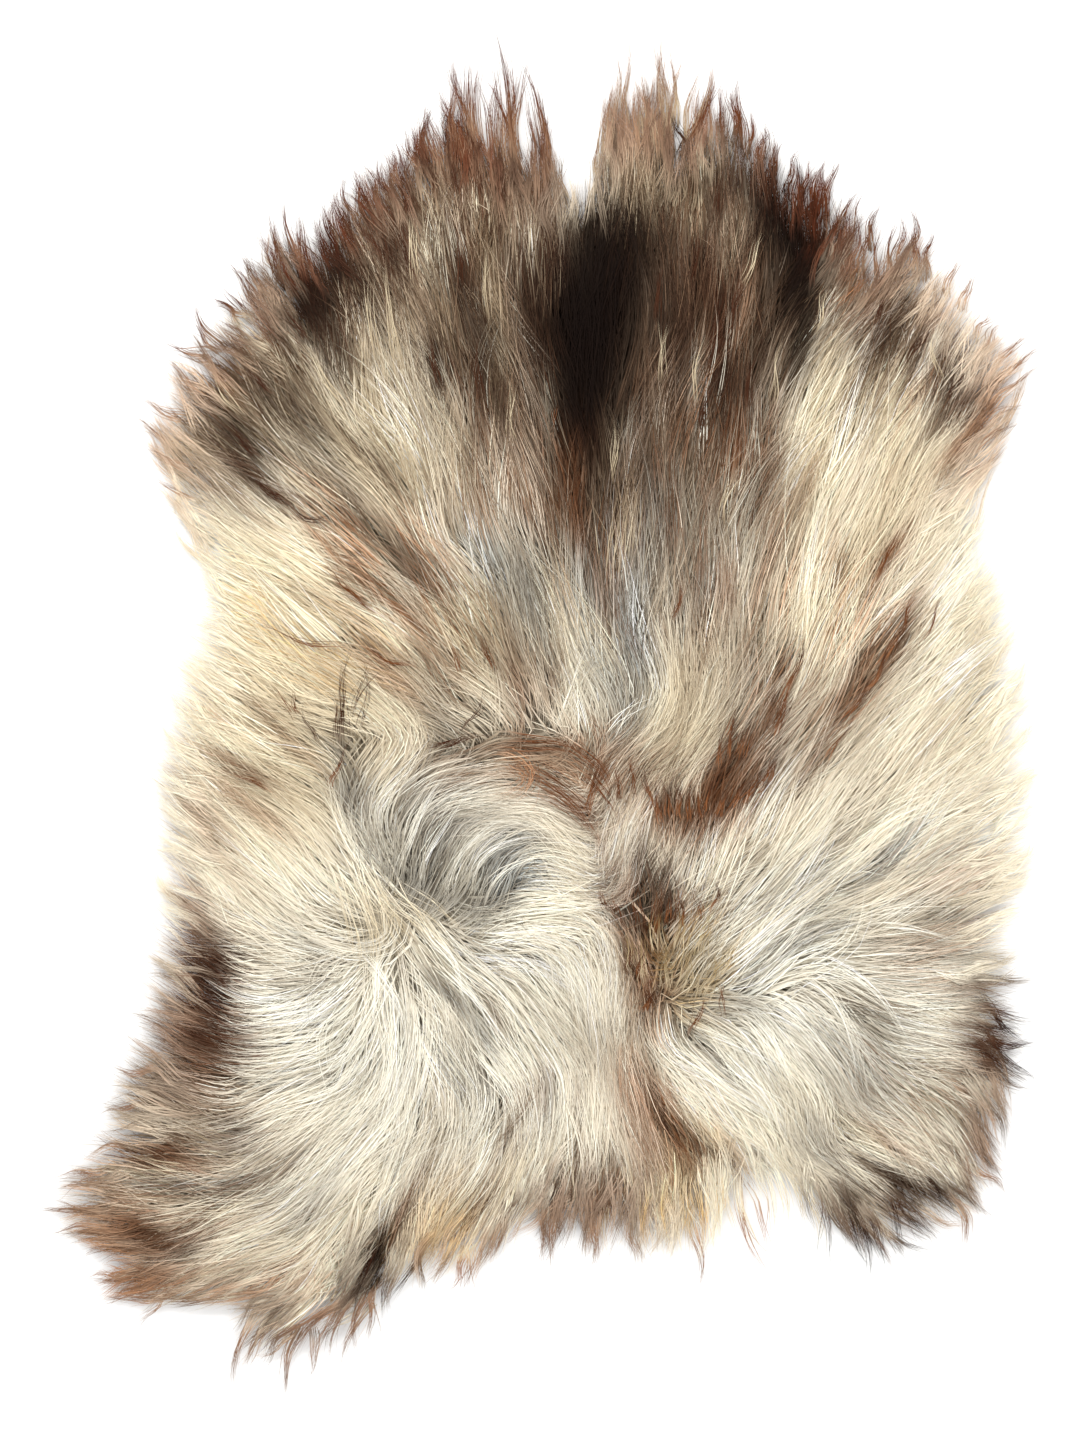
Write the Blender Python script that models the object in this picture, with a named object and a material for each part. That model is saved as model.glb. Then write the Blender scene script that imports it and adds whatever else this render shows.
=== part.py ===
"""Icelandic sheepskin rug lying flat, wool side up.

The rug is two pieces: the tanned hide, a thin flat sheet that lies on the floor, and the fleece that
grows on it, a lumpy slab with tapered locks all round its rim. Millimetre values are turned to metres
as they are used. +Z is up, +Y runs along the rug towards its broad notched end, and the origin lies on
the floor under the middle of the outer box.
"""

import math
import random
from collections import namedtuple

import bmesh
import bpy
import numpy as np
from mathutils import Vector
from mathutils.geometry import delaunay_2d_cdt

MM = 0.001

# Sizes in millimetres
HIDE_THICKNESS = 2.0
HIDE_INSET = 30.0  # how far the hide's edge lies inside the fleece's rim
WOOL_GAP = 0.3  # between the hide and the fleece
FLEECE_BASE = HIDE_THICKNESS + WOOL_GAP
RIM_TOP = 17.0  # height of the fleece where its rim locks begin
LOFT = 47.0  # height of the pile away from the rim
RIM_SLOPE = 95.0  # distance over which the pile rises from the rim to its loft
LOCK_PITCH = 19.5  # spacing of the rim locks
TOP_PITCH = 16.5  # spacing of the points of the woolly surface
BASE_PITCH = 90.0  # spacing of the points of the flat underside
HIDE_PITCH = 24.0  # spacing of the points of the hide's edge
TUFT_PITCH = 46.0  # spacing of the lumps that the lying locks make
TUFT_LENGTH = 92.0
TUFT_WIDTH = 42.0
TUFT_RISE = 14.0
TUFT_DROP = 0.22  # share of a tuft's length over which it drops at its tip
TUFT_SIZES = (0.7, 1.15)  # least and greatest rise against TUFT_RISE
TUFT_JITTER = 0.25  # of the pitch, so that the tufts are in no rows

# The rim of the fleece, anticlockwise from the notch. x and y are where the mass of wool ends, reach is
# how far the locks stand out past it, and lean is the way they point, in degrees from +X.
RimSection = namedtuple("RimSection", "x y reach lean")
RIM_SECTIONS = [
    RimSection(22, 395, 38, 92),
    RimSection(-4, 428, 62, 89),
    RimSection(-38, 450, 96, 91),
    RimSection(-72, 442, 78, 98),
    RimSection(-110, 418, 54, 106),
    RimSection(-160, 375, 50, 117),
    RimSection(-188, 345, 62, 115),
    RimSection(-228, 298, 54, 132),
    RimSection(-262, 250, 52, 144),
    RimSection(-270, 218, 62, 145),
    RimSection(-252, 158, 46, 153),
    RimSection(-238, 98, 34, 162),
    RimSection(-262, 22, 42, 165),
    RimSection(-278, -70, 46, 158),
    RimSection(-270, -165, 43, 162),
    RimSection(-268, -215, 44, 164),
    RimSection(-298, -278, 41, 165),
    RimSection(-328, -335, 44, 174),
    RimSection(-346, -392, 60, 181),
    RimSection(-318, -434, 54, 192),
    RimSection(-275, -453, 56, 208),
    RimSection(-228, -462, 48, 226),
    RimSection(-204, -480, 68, 233),
    RimSection(-176, -482, 64, 244),
    RimSection(-140, -452, 50, 256),
    RimSection(-112, -422, 40, 262),
    RimSection(-75, -408, 45, 256),
    RimSection(-42, -400, 56, 252),
    RimSection(-12, -380, 38, 258),
    RimSection(22, -387, 50, 266),
    RimSection(75, -392, 52, 275),
    RimSection(120, -386, 62, 281),
    RimSection(158, -360, 92, 286),
    RimSection(192, -354, 46, 298),
    RimSection(240, -382, 68, 290),
    RimSection(298, -378, 58, 296),
    RimSection(334, -346, 52, 302),
    RimSection(346, -298, 44, 318),
    RimSection(344, -250, 48, 340),
    RimSection(338, -195, 52, 0),
    RimSection(335, -150, 46, 12),
    RimSection(346, -60, 50, 20),
    RimSection(338, 45, 46, 25),
    RimSection(326, 130, 46, 34),
    RimSection(333, 200, 52, 43),
    RimSection(352, 252, 62, 36),
    RimSection(320, 306, 54, 60),
    RimSection(268, 352, 56, 76),
    RimSection(218, 396, 50, 74),
    RimSection(178, 424, 58, 84),
    RimSection(145, 440, 80, 91),
    RimSection(115, 436, 62, 94),
    RimSection(85, 446, 98, 92),
    RimSection(50, 424, 56, 94),
]

# Sections of a rim lock: share of its reach, width and height against its root, and height of its
# underside. The outer half lies level on the floor.
LockSection = namedtuple("LockSection", "along width height underside")
LOCK_SECTIONS = [
    LockSection(0.30, 0.84, 0.78, 1.0),
    LockSection(0.58, 0.60, 0.56, 0.0),
    LockSection(0.82, 0.36, 0.36, 0.0),
    LockSection(1.00, 0.08, 0.16, 0.0),
]
LOCK_FILL = 0.86  # share of its pitch that a lock fills, so that its neighbours stand clear
LOCK_SHARES = (0.72, 0.84, 0.96, 1.08)  # of the reach, picked at random for each lock
LOCK_BEND = 7.0  # most that a lock turns aside by its tip, in degrees

# Swells and hollows of the pile: a centre, a radius and how far the surface rises there.
Swell = namedtuple("Swell", "x y radius rise")
SWELLS = [
    Swell(40, 300, 120, -7),
    Swell(-120, 300, 100, 5),
    Swell(240, 290, 80, 4),
    Swell(-200, 60, 100, -4),
    Swell(10, 10, 110, 6),
    Swell(150, -45, 60, 6),
    Swell(270, 60, 100, 3),
    Swell(-70, -122, 50, -17),
    Swell(-15, -75, 60, 8),
    Swell(30, -180, 55, 9),
    Swell(-118, -165, 34, -9),
    Swell(118, -232, 42, -14),
    Swell(-170, -270, 100, 9),
    Swell(240, -250, 105, 9),
    Swell(30, -320, 80, 4),
    Swell(-300, -390, 80, -5),
]

# The way the wool lies: at each place, the direction of the locks in degrees from +X.
Lie = namedtuple("Lie", "x y heading")
LIES = [
    Lie(90, 450, 93),
    Lie(-40, 450, 94),
    Lie(200, 350, 80),
    Lie(-150, 350, 116),
    Lie(50, 250, 90),
    Lie(320, 280, 55),
    Lie(-250, 230, 146),
    Lie(170, 150, 78),
    Lie(-80, 170, 108),
    Lie(300, 120, 55),
    Lie(-220, 100, 156),
    Lie(20, 60, 105),
    Lie(-120, 50, 145),
    Lie(230, 0, 58),
    Lie(-240, -30, 158),
    Lie(80, -40, 88),
    Lie(-20, -55, 8),
    Lie(-100, -90, 66),
    Lie(45, -110, 305),
    Lie(350, -60, 22),
    Lie(-220, -120, 145),
    Lie(220, -120, 45),
    Lie(70, -210, 272),
    Lie(-20, -240, 312),
    Lie(-210, -230, 184),
    Lie(190, -190, 30),
    Lie(320, -230, 0),
    Lie(-110, -260, 276),
    Lie(200, -290, 312),
    Lie(350, -320, 292),
    Lie(-300, -300, 170),
    Lie(-330, -400, 181),
    Lie(-200, -350, 212),
    Lie(-230, -440, 214),
    Lie(-150, -460, 246),
    Lie(-80, -370, 250),
    Lie(20, -370, 268),
    Lie(110, -340, 300),
    Lie(260, -370, 318),
]
LIE_REACH = 62.0  # distance over which one of these places gives way to the next

# Linear colour and roughness of the two materials
WOOL_COLOUR = (0.52, 0.42, 0.31, 1.0)
WOOL_ROUGHNESS = 0.95
HIDE_COLOUR = (0.62, 0.54, 0.44, 1.0)
HIDE_ROUGHNESS = 0.85


def direction(degrees):
    """The unit vector that points this many degrees round from +X."""
    angle = math.radians(degrees)
    return np.array([math.cos(angle), math.sin(angle)])


def through(points, steps=12):
    """A closed smooth curve through the points, as steps points for each stretch between two of them."""
    before, start, end, after = (np.roll(points, shift, axis=0) for shift in (1, 0, -1, -2))
    rows = []
    for step in range(steps):
        t = step / steps
        rows.append(
            0.5
            * (
                2 * start
                + (end - before) * t
                + (2 * before - 5 * start + 4 * end - after) * t**2
                + (3 * start - before - 3 * end + after) * t**3
            )
        )
    return np.stack(rows, axis=1).reshape(-1, points.shape[1])


def even_points(curve, pitch):
    """The closed curve again, with points about pitch apart. Columns past x and y go along."""
    closed = np.vstack([curve, curve[:1]])
    lengths = np.linalg.norm(np.diff(closed[:, :2], axis=0), axis=1)
    along = np.concatenate([[0.0], np.cumsum(lengths)])
    count = round(along[-1] / pitch)
    places = np.arange(count) * along[-1] / count
    return np.stack([np.interp(places, along, column) for column in closed.T], axis=1)


def rim_curve():
    """The fleece's rim as columns x, y, reach and the lean's unit vector."""
    rows = [(s.x, s.y, s.reach, *direction(s.lean)) for s in RIM_SECTIONS]
    return through(np.array(rows, float))


def distance_to(line, places):
    """How far each place is from the closed line."""
    start = line[:, None]
    span = np.roll(line, -1, axis=0)[:, None] - start
    share = ((places - start) * span).sum(2) / np.maximum((span**2).sum(2), 1e-9)
    nearest = start + np.clip(share, 0, 1)[..., None] * span
    return np.linalg.norm(places - nearest, axis=2).min(0)


def inside(line, places):
    """Whether each place is inside the closed line, by the crossings of a ray along +X."""
    x0, y0 = line.T
    x1, y1 = np.roll(line, -1, axis=0).T
    x, y = places[:, :1], places[:, 1:]
    spans = (y0 > y) != (y1 > y)
    height = np.where(y1 == y0, 1.0, y1 - y0)
    crossings = spans & (x < x0 + (y - y0) * (x1 - x0) / height)
    return crossings.sum(1) % 2 == 1


def staggered_points(line, pitch, margin):
    """Places in staggered rows, pitch apart, inside the closed line and clear of it by margin."""
    low, high = line.min(0), line.max(0)
    row_pitch = pitch * math.sqrt(3) / 2
    rows = []
    for number, y in enumerate(np.arange(low[1], high[1], row_pitch)):
        x = np.arange(low[0], high[0], pitch) + (number % 2) * pitch / 2
        rows.append(np.stack([x, np.full_like(x, y)], axis=1))
    places = np.vstack(rows)
    places = places[inside(line, places)]
    return places[distance_to(line, places) > margin]


def heading_at(places):
    """The unit vector in which the wool lies at each place, blended from the table's nearest rows."""
    rows = np.array([(lie.x, lie.y) for lie in LIES], float)
    ways = np.array([direction(lie.heading) for lie in LIES])
    apart = np.linalg.norm(places[:, None] - rows, axis=2)
    weights = np.exp(-((apart / LIE_REACH) ** 2)) + 1e-9 / (1 + apart)
    blend = weights @ ways
    return blend / np.linalg.norm(blend, axis=1, keepdims=True)


def pile_height(places, rim):
    """Height of the pile's surface: up from the rim to the loft, with the swells and hollows."""
    share = np.clip(distance_to(rim, places) / RIM_SLOPE, 0, 1)
    eased = share * (2 - share)
    loft = np.full(len(places), LOFT)
    for swell in SWELLS:
        apart = np.linalg.norm(places - (swell.x, swell.y), axis=1)
        loft += swell.rise * np.exp(-((apart / swell.radius) ** 2))
    return RIM_TOP + (loft - RIM_TOP) * eased


def tufts(places, rim, pick):
    """Rise of the lumps that the lying locks make: each is long, rises to its tip and drops there."""
    centres = staggered_points(rim, TUFT_PITCH, TUFT_PITCH / 2)
    centres = centres + pick.uniform(-TUFT_JITTER, TUFT_JITTER, centres.shape) * TUFT_PITCH
    along = heading_at(centres)
    size = pick.uniform(*TUFT_SIZES, len(centres))
    apart = places[:, None] - centres
    forward = (apart * along).sum(2) / TUFT_LENGTH + 0.5
    aside = (apart[..., 0] * along[:, 1] - apart[..., 1] * along[:, 0]) / TUFT_WIDTH
    body = np.clip(forward, 0, 1) * np.clip((1 - forward) / TUFT_DROP, 0, 1)
    crown = np.clip(1 - (2 * aside) ** 2, 0, 1)
    return TUFT_RISE * (body * crown * size).max(1)


def material(name, colour, roughness):
    """A plain Principled material."""
    made = bpy.data.materials.new(name)
    made.use_nodes = True
    shader = made.node_tree.nodes["Principled BSDF"]
    shader.inputs["Base Color"].default_value = colour
    shader.inputs["Roughness"].default_value = roughness
    shader.inputs["Metallic"].default_value = 0.0
    return made


def make_hide(collection):
    """The tanned hide: a flat outline with half its thickness extruded each way."""
    rows = [np.array([s.x, s.y]) - HIDE_INSET * direction(s.lean) for s in RIM_SECTIONS]
    edge = even_points(through(np.array(rows)), HIDE_PITCH)
    curve = bpy.data.curves.new("hide", "CURVE")
    curve.dimensions = "2D"
    curve.fill_mode = "BOTH"
    curve.extrude = HIDE_THICKNESS / 2 * MM
    spline = curve.splines.new("POLY")
    spline.points.add(len(edge) - 1)
    spline.use_cyclic_u = True
    for point, (x, y) in zip(spline.points, edge):
        point.co = (x * MM, y * MM, 0, 1)
    hide = bpy.data.objects.new("hide", curve)
    hide.location.z = HIDE_THICKNESS / 2 * MM
    curve.materials.append(material("hide_leather", HIDE_COLOUR, HIDE_ROUGHNESS))
    collection.objects.link(hide)
    return hide


def filled(bm, line, places, heights, upward):
    """Fills the closed line with triangles through the places, and returns the line's vertices."""
    points = [Vector(p) for p in np.vstack([line, places])]
    edges = [(i, (i + 1) % len(line)) for i in range(len(line))]
    flat, _, faces, *_ = delaunay_2d_cdt(points, edges, [], 1, 1e-4)
    verts = [bm.verts.new((p.x * MM, p.y * MM, z * MM)) for p, z in zip(flat, heights)]
    for face in faces:
        bm.faces.new([verts[i] for i in (face if upward else reversed(face))])
    return verts[: len(line)]


def lock_widths(rim, lean):
    """Width of each rim lock across its own lean: its pitch foreshortened, less a gap."""
    span = np.roll(rim, -1, axis=0) - rim
    across = np.stack([-lean[:, 1], lean[:, 0]], axis=1)
    return np.abs((span * across).sum(1)) * LOCK_FILL


def grow_lock(bm, face, lean, reach, bend, width):
    """Draws a rim face out into a four-sided tapered lock that comes down to the floor."""
    root = face.calc_center_median()
    root_height = RIM_TOP - FLEECE_BASE
    place = np.array([root.x, root.y]) / MM
    gone = 0.0
    for number, section in enumerate(LOCK_SECTIONS):
        turn = bend * section.along
        way = np.array(
            [
                lean[0] * math.cos(turn) - lean[1] * math.sin(turn),
                lean[0] * math.sin(turn) + lean[1] * math.cos(turn),
            ]
        )
        place = place + way * reach * (section.along - gone)
        gone = section.along
        aside = np.array([-way[1], way[0]]) * width * section.width / 2
        low = section.underside
        high = low + root_height * section.height
        old = [v.co.copy() for v in face.verts]
        face = bmesh.ops.extrude_discrete_faces(bm, faces=[face])["faces"][0]
        middle = sum(old, Vector()) / len(old)
        for vert in face.verts:
            side = 1 if (vert.co - middle).xy.dot(Vector(aside)) > 0 else -1
            x, y = place + side * aside
            vert.co = (x * MM, y * MM, (high if vert.co.z > middle.z else low) * MM)


def make_fleece(collection):
    """The fleece: a lumpy slab on a flat underside, with a lock drawn out of each face of its rim."""
    pick = np.random.default_rng(7)
    chance = random.Random(11)
    rows = even_points(rim_curve(), LOCK_PITCH)
    rim, reach, lean = rows[:, :2], rows[:, 2], rows[:, 3:]
    lean = lean / np.linalg.norm(lean, axis=1, keepdims=True)
    places = staggered_points(rim, TOP_PITCH, TOP_PITCH * 0.6)
    crest = pile_height(places, rim)
    eased = np.clip((crest - RIM_TOP) / (LOFT - RIM_TOP), 0, 1)
    crest = crest + (tufts(places, rim, pick) - TUFT_RISE / 3) * eased
    base_places = staggered_points(rim, BASE_PITCH, BASE_PITCH * 0.3)

    bm = bmesh.new()
    top_heights = np.concatenate([np.full(len(rim), RIM_TOP), crest])
    base_heights = np.full(len(rim) + len(base_places), FLEECE_BASE)
    top = filled(bm, rim, places, top_heights, upward=True)
    base = filled(bm, rim, base_places, base_heights, upward=False)
    walls = []
    for i, low in enumerate(base):
        after = (i + 1) % len(base)
        walls.append(bm.faces.new([low, base[after], top[after], top[i]]))
    widths = lock_widths(rim, (lean + np.roll(lean, -1, axis=0)) / 2)
    for i, wall in enumerate(walls):
        after = (i + 1) % len(walls)
        way = lean[i] + lean[after]
        way = way / np.linalg.norm(way)
        length = (reach[i] + reach[after]) / 2 * chance.choice(LOCK_SHARES)
        bend = math.radians(chance.uniform(-LOCK_BEND, LOCK_BEND))
        grow_lock(bm, wall, way, length, bend, widths[i])
    mesh = bpy.data.meshes.new("fleece")
    bm.to_mesh(mesh)
    bm.free()
    mesh.shade_smooth()
    mesh.materials.append(material("fleece_wool", WOOL_COLOUR, WOOL_ROUGHNESS))
    fleece = bpy.data.objects.new("fleece", mesh)
    collection.objects.link(fleece)
    return fleece


def centre_on_origin(pieces, widest):
    """Moves the pieces together so that the middle of the widest one's box is over the origin."""
    points = np.array([vert.co for vert in widest.data.vertices])
    middle = (points.min(0) + points.max(0)) / 2
    for piece in pieces:
        piece.location.x -= middle[0]
        piece.location.y -= middle[1]


def main():
    """Clears the scene and builds the two pieces in one collection."""
    for old in list(bpy.data.objects):
        bpy.data.objects.remove(old)
    rug = bpy.data.collections.new("sheepskin_rug")
    bpy.context.scene.collection.children.link(rug)
    hide = make_hide(rug)
    fleece = make_fleece(rug)
    centre_on_origin((hide, fleece), fleece)


main()
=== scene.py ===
"""The looks of a long-haired sheepskin rug, lying flat with its wool up.

The rug is worked out in millimetres, in the plan of the tables below: +Y runs along the skin towards its
notched end. A plan of the rug gives the wool's rim, the hide's edge and the height of the pile. The wool
is combed by a table of directions, coloured by a table of markings, and grown as locks of fine tapered
hairs over a woolly mat. Lengths become metres only when a mesh is made.
"""

import logging
import math
from collections.abc import Callable
from dataclasses import dataclass, field
from enum import Enum
from functools import partial
from typing import NamedTuple

import bpy
import numpy as np
from numpy.typing import NDArray
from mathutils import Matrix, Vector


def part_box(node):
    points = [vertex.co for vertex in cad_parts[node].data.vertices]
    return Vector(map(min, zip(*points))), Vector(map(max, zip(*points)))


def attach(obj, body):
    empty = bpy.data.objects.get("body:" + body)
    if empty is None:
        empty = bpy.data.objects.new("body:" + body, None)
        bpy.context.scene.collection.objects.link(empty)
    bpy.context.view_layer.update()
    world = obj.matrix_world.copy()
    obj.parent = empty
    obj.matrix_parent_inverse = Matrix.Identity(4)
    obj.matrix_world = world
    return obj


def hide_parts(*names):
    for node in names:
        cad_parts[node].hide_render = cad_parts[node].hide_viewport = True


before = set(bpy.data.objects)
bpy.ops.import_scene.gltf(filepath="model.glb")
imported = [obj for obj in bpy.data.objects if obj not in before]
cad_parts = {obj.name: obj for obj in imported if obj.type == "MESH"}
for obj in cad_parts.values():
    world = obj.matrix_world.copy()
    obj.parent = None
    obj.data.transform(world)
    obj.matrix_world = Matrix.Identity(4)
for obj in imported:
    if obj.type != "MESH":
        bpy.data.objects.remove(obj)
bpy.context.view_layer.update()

Array = NDArray[np.float64]
MM = 0.001
LEAST_GAP = 1e-9
FIBRE_DEPTH = (1.09, 1.15, 1.2)
WARMTH = (0.92, 1.0, 1.08)
COLOUR_LIMITS = (0.004, 0.95)
MOST_FACES = 190000
COLOUR_LAYER = "wool_colour"
log = logging.getLogger("sheepskin")


class Tone(Enum):
    """Colours of the wool, as sRGB hex values."""

    SOOT = "#17100d"
    UMBER = "#2e1f17"
    BARK = "#4a3226"
    CHESTNUT = "#6e4a32"
    RUST = "#5c3524"
    CLAY = "#986a49"
    FAWN = "#ae917c"
    TAUPE = "#907865"
    KHAKI = "#8d816f"
    DRAB = "#a89b86"
    OATMEAL = "#d6cab1"
    CREAM = "#f4ecda"
    IVORY = "#faf6ea"
    BUTTER = "#e6dabf"
    HONEY = "#e2c18d"
    BLUSH = "#cfb8a5"
    MAUVE = "#8d7566"
    SLATE = "#8b8c88"
    ASH = "#b5b1a4"
    CHARCOAL = "#4a443d"
    OCHRE = "#9c8a68"


class RimSection(NamedTuple):
    """Where the mass of wool ends, how far its locks stand out past that, and the way they point."""

    x: float
    y: float
    reach: float
    lean: float


class Combing(NamedTuple):
    """A place where the wool lies in a known direction, in degrees from +X, and how far that holds."""

    x: float
    y: float
    heading: float
    spread: float


class Marking(NamedTuple):
    """A soft patch of another colour: its middle, half length, half width, direction and strength."""

    x: float
    y: float
    length: float
    width: float
    heading: float
    strength: float
    tone: Tone


def marks(tone: Tone, *rows: tuple[float, ...]) -> tuple[Marking, ...]:
    """Markings of one tone, from rows of their other columns in order, with the strength in percent."""
    return tuple(Marking(*row[:5], row[5] / 100, tone) for row in rows)


class Swell(NamedTuple):
    """A place where the pile stands higher or lower."""

    x: float
    y: float
    radius: float
    rise: float


class Spot(NamedTuple):
    """A point of the plan."""

    x: float
    y: float


class Tress(NamedTuple):
    """A lock in its own place: root, tip, bow to the left of a straight line, width, hairs and tones."""

    x: float
    y: float
    tip_x: float
    tip_y: float
    bow: float
    width: float
    hairs: int
    base: Tone
    tip: Tone


def tufts(base: Tone, tip: Tone, *rows: tuple[float, ...]) -> tuple[Tress, ...]:
    """Tresses of the same two tones, from rows of their other columns in order."""
    return tuple(Tress(*row, base, tip) for row in rows)


# The rim of the mass of wool, from the notch round by the left: x, y, reach, lean
RIM = tuple(
    RimSection(*row)
    for row in (
        (22,395,38,92), (-4,428,62,89), (-38,450,96,91), (-72,442,78,98), (-110,418,54,106),
        (-160,375,50,117), (-188,345,62,115), (-228,298,54,132), (-262,250,52,144), (-270,218,62,145),
        (-252,158,46,153), (-238,98,34,162), (-262,22,42,165), (-278,-70,46,158), (-270,-165,43,162),
        (-268,-215,44,164), (-298,-278,41,165), (-328,-335,44,174), (-346,-392,60,181), (-318,-434,54,192),
        (-275,-453,56,208), (-228,-462,48,226), (-204,-480,68,233), (-176,-482,64,244), (-140,-452,50,256),
        (-112,-422,40,262), (-75,-408,45,256), (-42,-400,56,252), (-12,-380,38,258), (22,-387,50,266),
        (75,-392,52,275), (120,-386,62,281), (158,-360,92,286), (192,-354,46,298), (240,-382,68,290),
        (298,-378,58,296), (334,-346,52,302), (346,-298,44,318), (344,-250,48,340), (338,-195,52,0),
        (335,-150,46,12), (346,-60,50,20), (338,45,46,25), (326,130,46,34), (333,200,52,43), (352,252,62,36),
        (320,306,54,60), (268,352,56,76), (218,396,50,74), (178,424,58,84), (145,440,80,91), (115,436,62,94),
        (85,446,98,92), (50,424,56,94),
    )
)

# The lumps and hollows of the pile: x, y, radius, rise
SWELLS = tuple(
    Swell(*row)
    for row in (
        (40,300,120,-7), (-120,300,100,5), (240,290,80,4), (-200,60,100,-4), (10,10,110,6), (150,-45,60,6),
        (270,60,100,3), (-70,-122,50,-17), (-15,-75,60,8), (30,-180,55,9), (-118,-165,34,-9),
        (118,-232,42,-14), (-170,-270,100,9), (240,-250,105,9), (30,-320,80,4), (-300,-390,80,-5),
    )
)

# The outline of the tips, from the notch round by the left: x, y
OUTLINE = tuple(
    Spot(*row)
    for row in (
        (22,428), (12,448), (5,462), (-3,466), (-12,458), (-20,452), (-30,455), (-40,468), (-50,458),
        (-60,472), (-72,488), (-82,486), (-92,478), (-102,462), (-112,458), (-122,450), (-130,438),
        (-142,436), (-150,424), (-160,416), (-170,396), (-180,388), (-190,378), (-198,384), (-208,392),
        (-218,380), (-228,362), (-240,350), (-248,336), (-260,326), (-270,312), (-284,298), (-298,286),
        (-300,268), (-312,250), (-320,236), (-316,208), (-308,190), (-300,165), (-295,150), (-284,132),
        (-274,104), (-278,86), (-288,70), (-299,45), (-308,15), (-313,-20), (-313,-50), (-315,-120),
        (-316,-180), (-319,-225), (-330,-260), (-340,-285), (-350,-312), (-350,-328), (-372,-346),
        (-385,-368), (-395,-392), (-386,-412), (-366,-425), (-345,-436), (-356,-452), (-348,-464),
        (-325,-468), (-300,-470), (-285,-468), (-262,-472), (-250,-480), (-240,-500), (-238,-520),
        (-222,-508), (-210,-528), (-198,-532), (-190,-505), (-182,-480), (-162,-442), (-154,-428),
        (-156,-445), (-168,-485), (-162,-518), (-142,-508), (-130,-490), (-124,-458), (-112,-450),
        (-100,-455), (-78,-452), (-62,-454), (-42,-438), (-25,-412), (-8,-400), (-2,-425), (8,-430),
        (25,-408), (38,-430), (60,-428), (80,-436), (110,-436), (125,-446), (140,-425), (143,-398),
        (150,-385), (160,-378), (172,-390), (186,-374), (205,-368), (214,-385), (222,-420), (232,-432),
        (240,-410), (256,-432), (266,-440), (275,-425), (290,-424), (305,-426), (320,-415), (333,-404),
        (342,-412), (350,-393), (362,-366), (368,-372), (372,-342), (376,-302), (388,-292), (386,-262),
        (380,-230), (383,-205), (386,-170), (396,-145), (400,-110), (403,-70), (403,-15), (397,20), (389,60),
        (379,100), (370,125), (364,150), (360,170), (356,190), (368,212), (378,232), (378,252), (388,272),
        (386,290), (376,302), (362,310), (352,322), (345,338), (334,352), (322,352), (318,368), (308,380),
        (298,384), (288,368), (276,368), (265,374), (256,394), (246,388), (240,404), (237,428), (228,434),
        (218,432), (208,440), (198,448), (186,454), (176,464), (168,476), (160,488), (150,492), (140,494),
        (130,484), (120,468), (112,452), (104,462), (98,490), (88,500), (75,496), (62,494), (54,480),
        (48,458), (42,438), (32,428),
    )
)

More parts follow.
